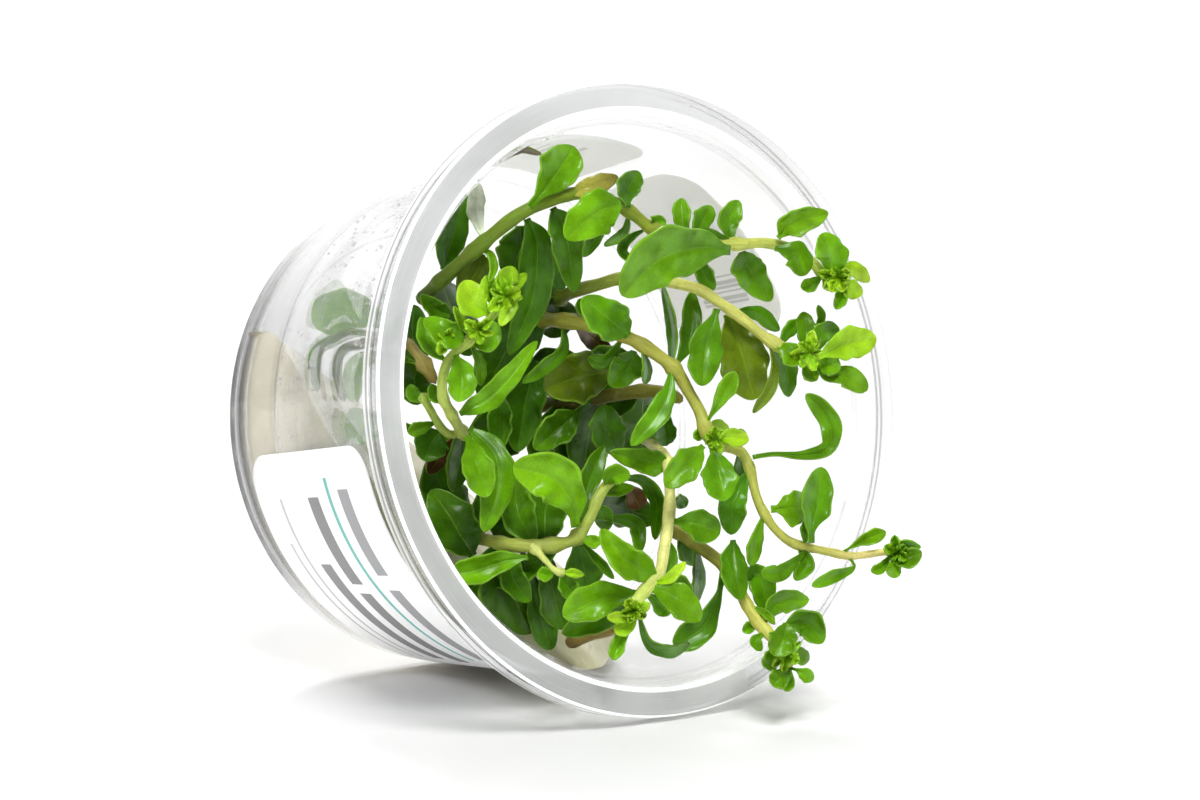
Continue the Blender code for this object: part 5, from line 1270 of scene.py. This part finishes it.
# start and end along the label, upper and lower across it, in mm, share of ink, ink
labelBars = {
    "label_front": [
        (7.0, 27.0, 8.0, 11.4, 0.9, grey), (30.0, 45.0, 8.0, 11.4, 0.9, grey), (6.0, 47.0, 14.2, 15.2, 0.9, teal),
        (4.0, 26.0, 18.6, 22.2, 0.85, dark), (28.0, 44.0, 18.6, 22.2, 0.85, dark), (5.0, 32.0, 25.0, 28.4, 0.85, dark),
        (5.0, 44.0, 31.4, 32.2, 0.6, grey), (5.0, 36.0, 34.2, 35.0, 0.6, grey),
    ],
    "label_top": [(4.0 + 1.7 * i, 4.4 + 1.7 * i + 0.35 * (i % 3), 7.0, 15.0, 0.45, grey) for i in range(9)],
    "label_side": [(23.0 + 0.95 * i, 23.3 + 0.95 * i + 0.22 * (i * 5 % 3), 7.0, 18.0, 0.5, grey) for i in range(6)],
}


def roundCup(turn, radius, depth):
    # places for a thing that stands on its base and has still to be laid with the cup
    return np.stack([np.sin(turn) * radius, np.cos(turn) * radius, cup["depth"] - depth], axis=1) * mm


def makeLabel(name, spec):
    columns, rows = 90, 24
    thing, side, along = gridSheet(name + "_paper", columns, rows)
    middle = outerRadius((spec["upper"] + spec["lower"]) / 2)
    arc = math.radians(spec["end"] - spec["start"]) * middle
    share = (side + 1) / 2
    # more columns near the rounded corners
    share = share + 0.9 * (np.clip(0.5 - share, 0, 0.5) * -2 * share + np.clip(share - 0.5, 0, 0.5) * 2 * (1 - share))
    short = np.maximum(spec["corner"] - np.minimum(share, 1 - share) * arc, 0.0)
    cut = spec["corner"] - np.sqrt(np.maximum(spec["corner"] ** 2 - short**2, 0.0))
    half = (spec["lower"] - spec["upper"]) / 2 - cut
    depth = (spec["lower"] + spec["upper"]) / 2 + (along * 2 - 1) * half
    turn = np.radians(spec["start"] + share * (spec["end"] - spec["start"]))
    setPoints(thing, roundCup(turn, outerRadius(depth) * toFlat + paperGap + paperThick / 2, depth))
    carry(thing, "sheet", "FLOAT_VECTOR", np.stack([share * arc, depth - spec["upper"], share * 0], axis=1))
    thing.data.shade_smooth()
    thicken(thing, paperThick)
    mend(thing, 0.005 * mm)
    layWithCup(thing)
    wear(thing, paperSkins[name])
    settle(thing, name, "label_paper")
    return thing


drops = {
    "count": 800,
    "degrees": (258.0, 352.0),  # round the cup from its top
    "depths": (3.0, 46.0),  # mm past the mouth
    "sizes": (0.09, 0.5),  # mm
    "flat": 0.45,
    "seed": 11,
}

mist = {
    "degrees": (250.0, 350.0),
    "depths": (3.5, 46.0),
    "gap": 0.06,  # mm inside the wall
}


def makeDrops():
    # beads of damp on the inside of the wall: one is modelled, and the rest are its copies in one mesh
    clearSelection()
    bpy.ops.mesh.primitive_uv_sphere_add(segments=8, ring_count=5, radius=1.0)
    thing = bpy.context.object
    bead = pointsOf(thing)
    faces = [tuple(face.vertices) for face in thing.data.polygons]
    chance = np.random.default_rng(drops["seed"])
    points, shell = [], []
    for number in range(drops["count"]):
        degrees = chance.uniform(*drops["degrees"])
        depth = chance.uniform(*drops["depths"])
        size = drops["sizes"][0] + (drops["sizes"][1] - drops["sizes"][0]) * chance.uniform() ** 4
        turn = math.radians(degrees)
        outward = math.cos(turn) * upRim + math.sin(turn) * across
        sideways = np.cross(outOfMouth, outward)
        middle = -outOfMouth * depth + outward * (innerRadius(depth) * toFlat - size * drops["flat"] * 0.7)
        long = chance.uniform(1.0, 1.5)
        placed = middle + size * (
            bead[:, 0:1] * sideways + bead[:, 1:2] * long * outOfMouth - bead[:, 2:3] * drops["flat"] * outward
        )
        points.append(inFrame(placed))
        shell += [tuple(i + number * len(bead) for i in face) for face in faces]
    mesh = bpy.data.meshes.new("drops_on_wall")
    mesh.from_pydata(np.vstack(points).tolist(), [], shell)
    thing.data = mesh
    thing.name = "drops_on_wall"
    mend(thing, 0.001 * mm)
    mesh.shade_smooth()
    wear(thing, dropSkin)
    whole = joined("damp_on_wall", [thing, makeMist()])
    settle(whole, None, "clear_plastic")
    return whole


def makeMist():
    # a film just inside the wall, over the stretch that the beads cover
    thing, side, along = gridSheet("mist", 60, 12)
    first, last = mist["degrees"]
    turn = np.radians((first + last) / 2 + side * (last - first) / 2)
    depth = mist["depths"][0] + along * (mist["depths"][1] - mist["depths"][0])
    setPoints(thing, roundCup(turn, innerRadius(depth) * toFlat - mist["gap"], depth))
    carry(thing, "film", "FLOAT_VECTOR", np.stack([side, along, side * 0], axis=1))
    layWithCup(thing)
    thing.data.shade_smooth()
    wear(thing, mistSkin)
    return thing


studio = {
    "behind": 1.0,  # how bright the room is behind the cup, and on the side that the mouth faces
    "before": 0.30,
    "lobe": (0.2, 0.85),  # cosines from the way the camera looks, where the room starts to brighten and is brightest
    "aimHeight": 0.05,  # metres, as the lamps' places and sizes
    "key": dict(place=(-0.35, -0.70, 1.05), size=0.5, power=14.0),
    "back": dict(place=(0.30, 0.75, 1.25), size=0.4, power=14.0),
    "side": dict(place=(-1.0, -0.1, 0.55), size=0.5, power=2.0),
}


def makeStudio():
    clearSelection()
    bpy.ops.mesh.primitive_plane_add(size=60.0, location=(0, 0, 0))
    floor = bpy.context.object
    floor.name = "floor"
    wear(floor, makeFloorSkin())
    world = bpy.data.worlds.new("studio")
    bpy.context.scene.world = world
    world.use_nodes = True
    nodes, links = world.node_tree.nodes, world.node_tree.links
    background = nodes["Background"]
    background.inputs["Color"].default_value = colour(1.0, 1.0, 1.0)
    where = nodes.new("ShaderNodeTexCoord")
    facing = nodes.new("ShaderNodeVectorMath")
    facing.operation = "DOT_PRODUCT"
    facing.inputs[1].default_value = Vector(-viewBack)
    links.new(where.outputs["Generated"], facing.inputs[0])
    level = nodes.new("ShaderNodeMapRange")
    level.interpolation_type = "SMOOTHSTEP"
    for socket, value in zip(level.inputs[1:5], (*studio["lobe"], studio["before"], studio["behind"])):
        socket.default_value = value
    links.new(facing.outputs["Value"], level.inputs[0])
    direct = nodes.new("ShaderNodeLightPath")
    shown = nodes.new("ShaderNodeMix")
    shown.inputs[3].default_value = 1.0
    links.new(direct.outputs["Is Camera Ray"], shown.inputs[0])
    links.new(level.outputs[0], shown.inputs[2])
    links.new(shown.outputs[0], background.inputs["Strength"])
    for name in ("key", "back", "side"):
        spec = studio[name]
        light = bpy.data.lights.new(name, "AREA")
        light.shape = "DISK"
        light.size = spec["size"]
        light.energy = spec["power"]
        lamp = bpy.data.objects.new(name, light)
        lamp.location = spec["place"]
        aim = Vector((0.0, 0.0, studio["aimHeight"])) - Vector(spec["place"])
        lamp.rotation_euler = aim.to_track_quat("-Z", "Y").to_euler()
        bpy.context.scene.collection.objects.link(lamp)


def makeCamera():
    lens = bpy.data.cameras.new("camera")
    lens.sensor_width = view["sensor"]
    lens.lens = view["pixelsPerRadian"] * view["sensor"] / view["width"]
    lens.clip_end = 20.0
    camera = bpy.data.objects.new("camera", lens)
    stand = Matrix.Identity(4)
    for i, axis in enumerate((viewRight, viewUp, viewBack)):
        for j in range(3):
            stand[j][i] = axis[j]
    for j, value in enumerate(inFrame(eye)[0]):
        stand[j][3] = value
    camera.matrix_world = stand
    bpy.context.scene.collection.objects.link(camera)
    bpy.context.scene.camera = camera
    bpy.context.scene.view_settings.view_transform = "Standard"


leafSkin = makeLeafSkin()
stemSkin = makeStemSkin()
clearSkin = makeClearSkin()
rimSkin = makeRimSkin()
gelSkin = makeGelSkin()
baseEdgeSkin = makeBaseEdgeSkin()
mistSkin = makeMistSkin()
dropSkin = makeDropSkin()
paperSkins = {name: makePaperSkin(name, bars) for name, bars in labelBars.items()}
print("materials made")

makeCup()
makeGel()
for name, spec in labels.items():
    makeLabel(name, spec)
makeDrops()
print("cup, gel, labels and drops made")

for name, specs in stems.items():
    grown = stemLeaves.get(name, [])
    starts = [spec["route"][0] for spec in grown]
    parts = [growStem(f"{name}_{i}", spec, starts) for i, spec in enumerate(specs)]
    parts += [growLeaf(f"{name}_leaf", rooted(spec, specs), i, 0.8) for i, spec in enumerate(grown)]
    for i, spec in enumerate(tips.get(name, [])):
        parts += growTip(f"{name}_tip", spec, i)
    whole = joined(name + "_shoot", parts)
    settle(whole, name, "brown_stem" if "brown" in name else "stem_green")
print("stems made")

for name, spec in leaves.items():
    settle(growLeaf(name + "_blade", spec, 0, 1.4), name, "leaf_green")
print("leaves made")

makeStudio()
makeCamera()
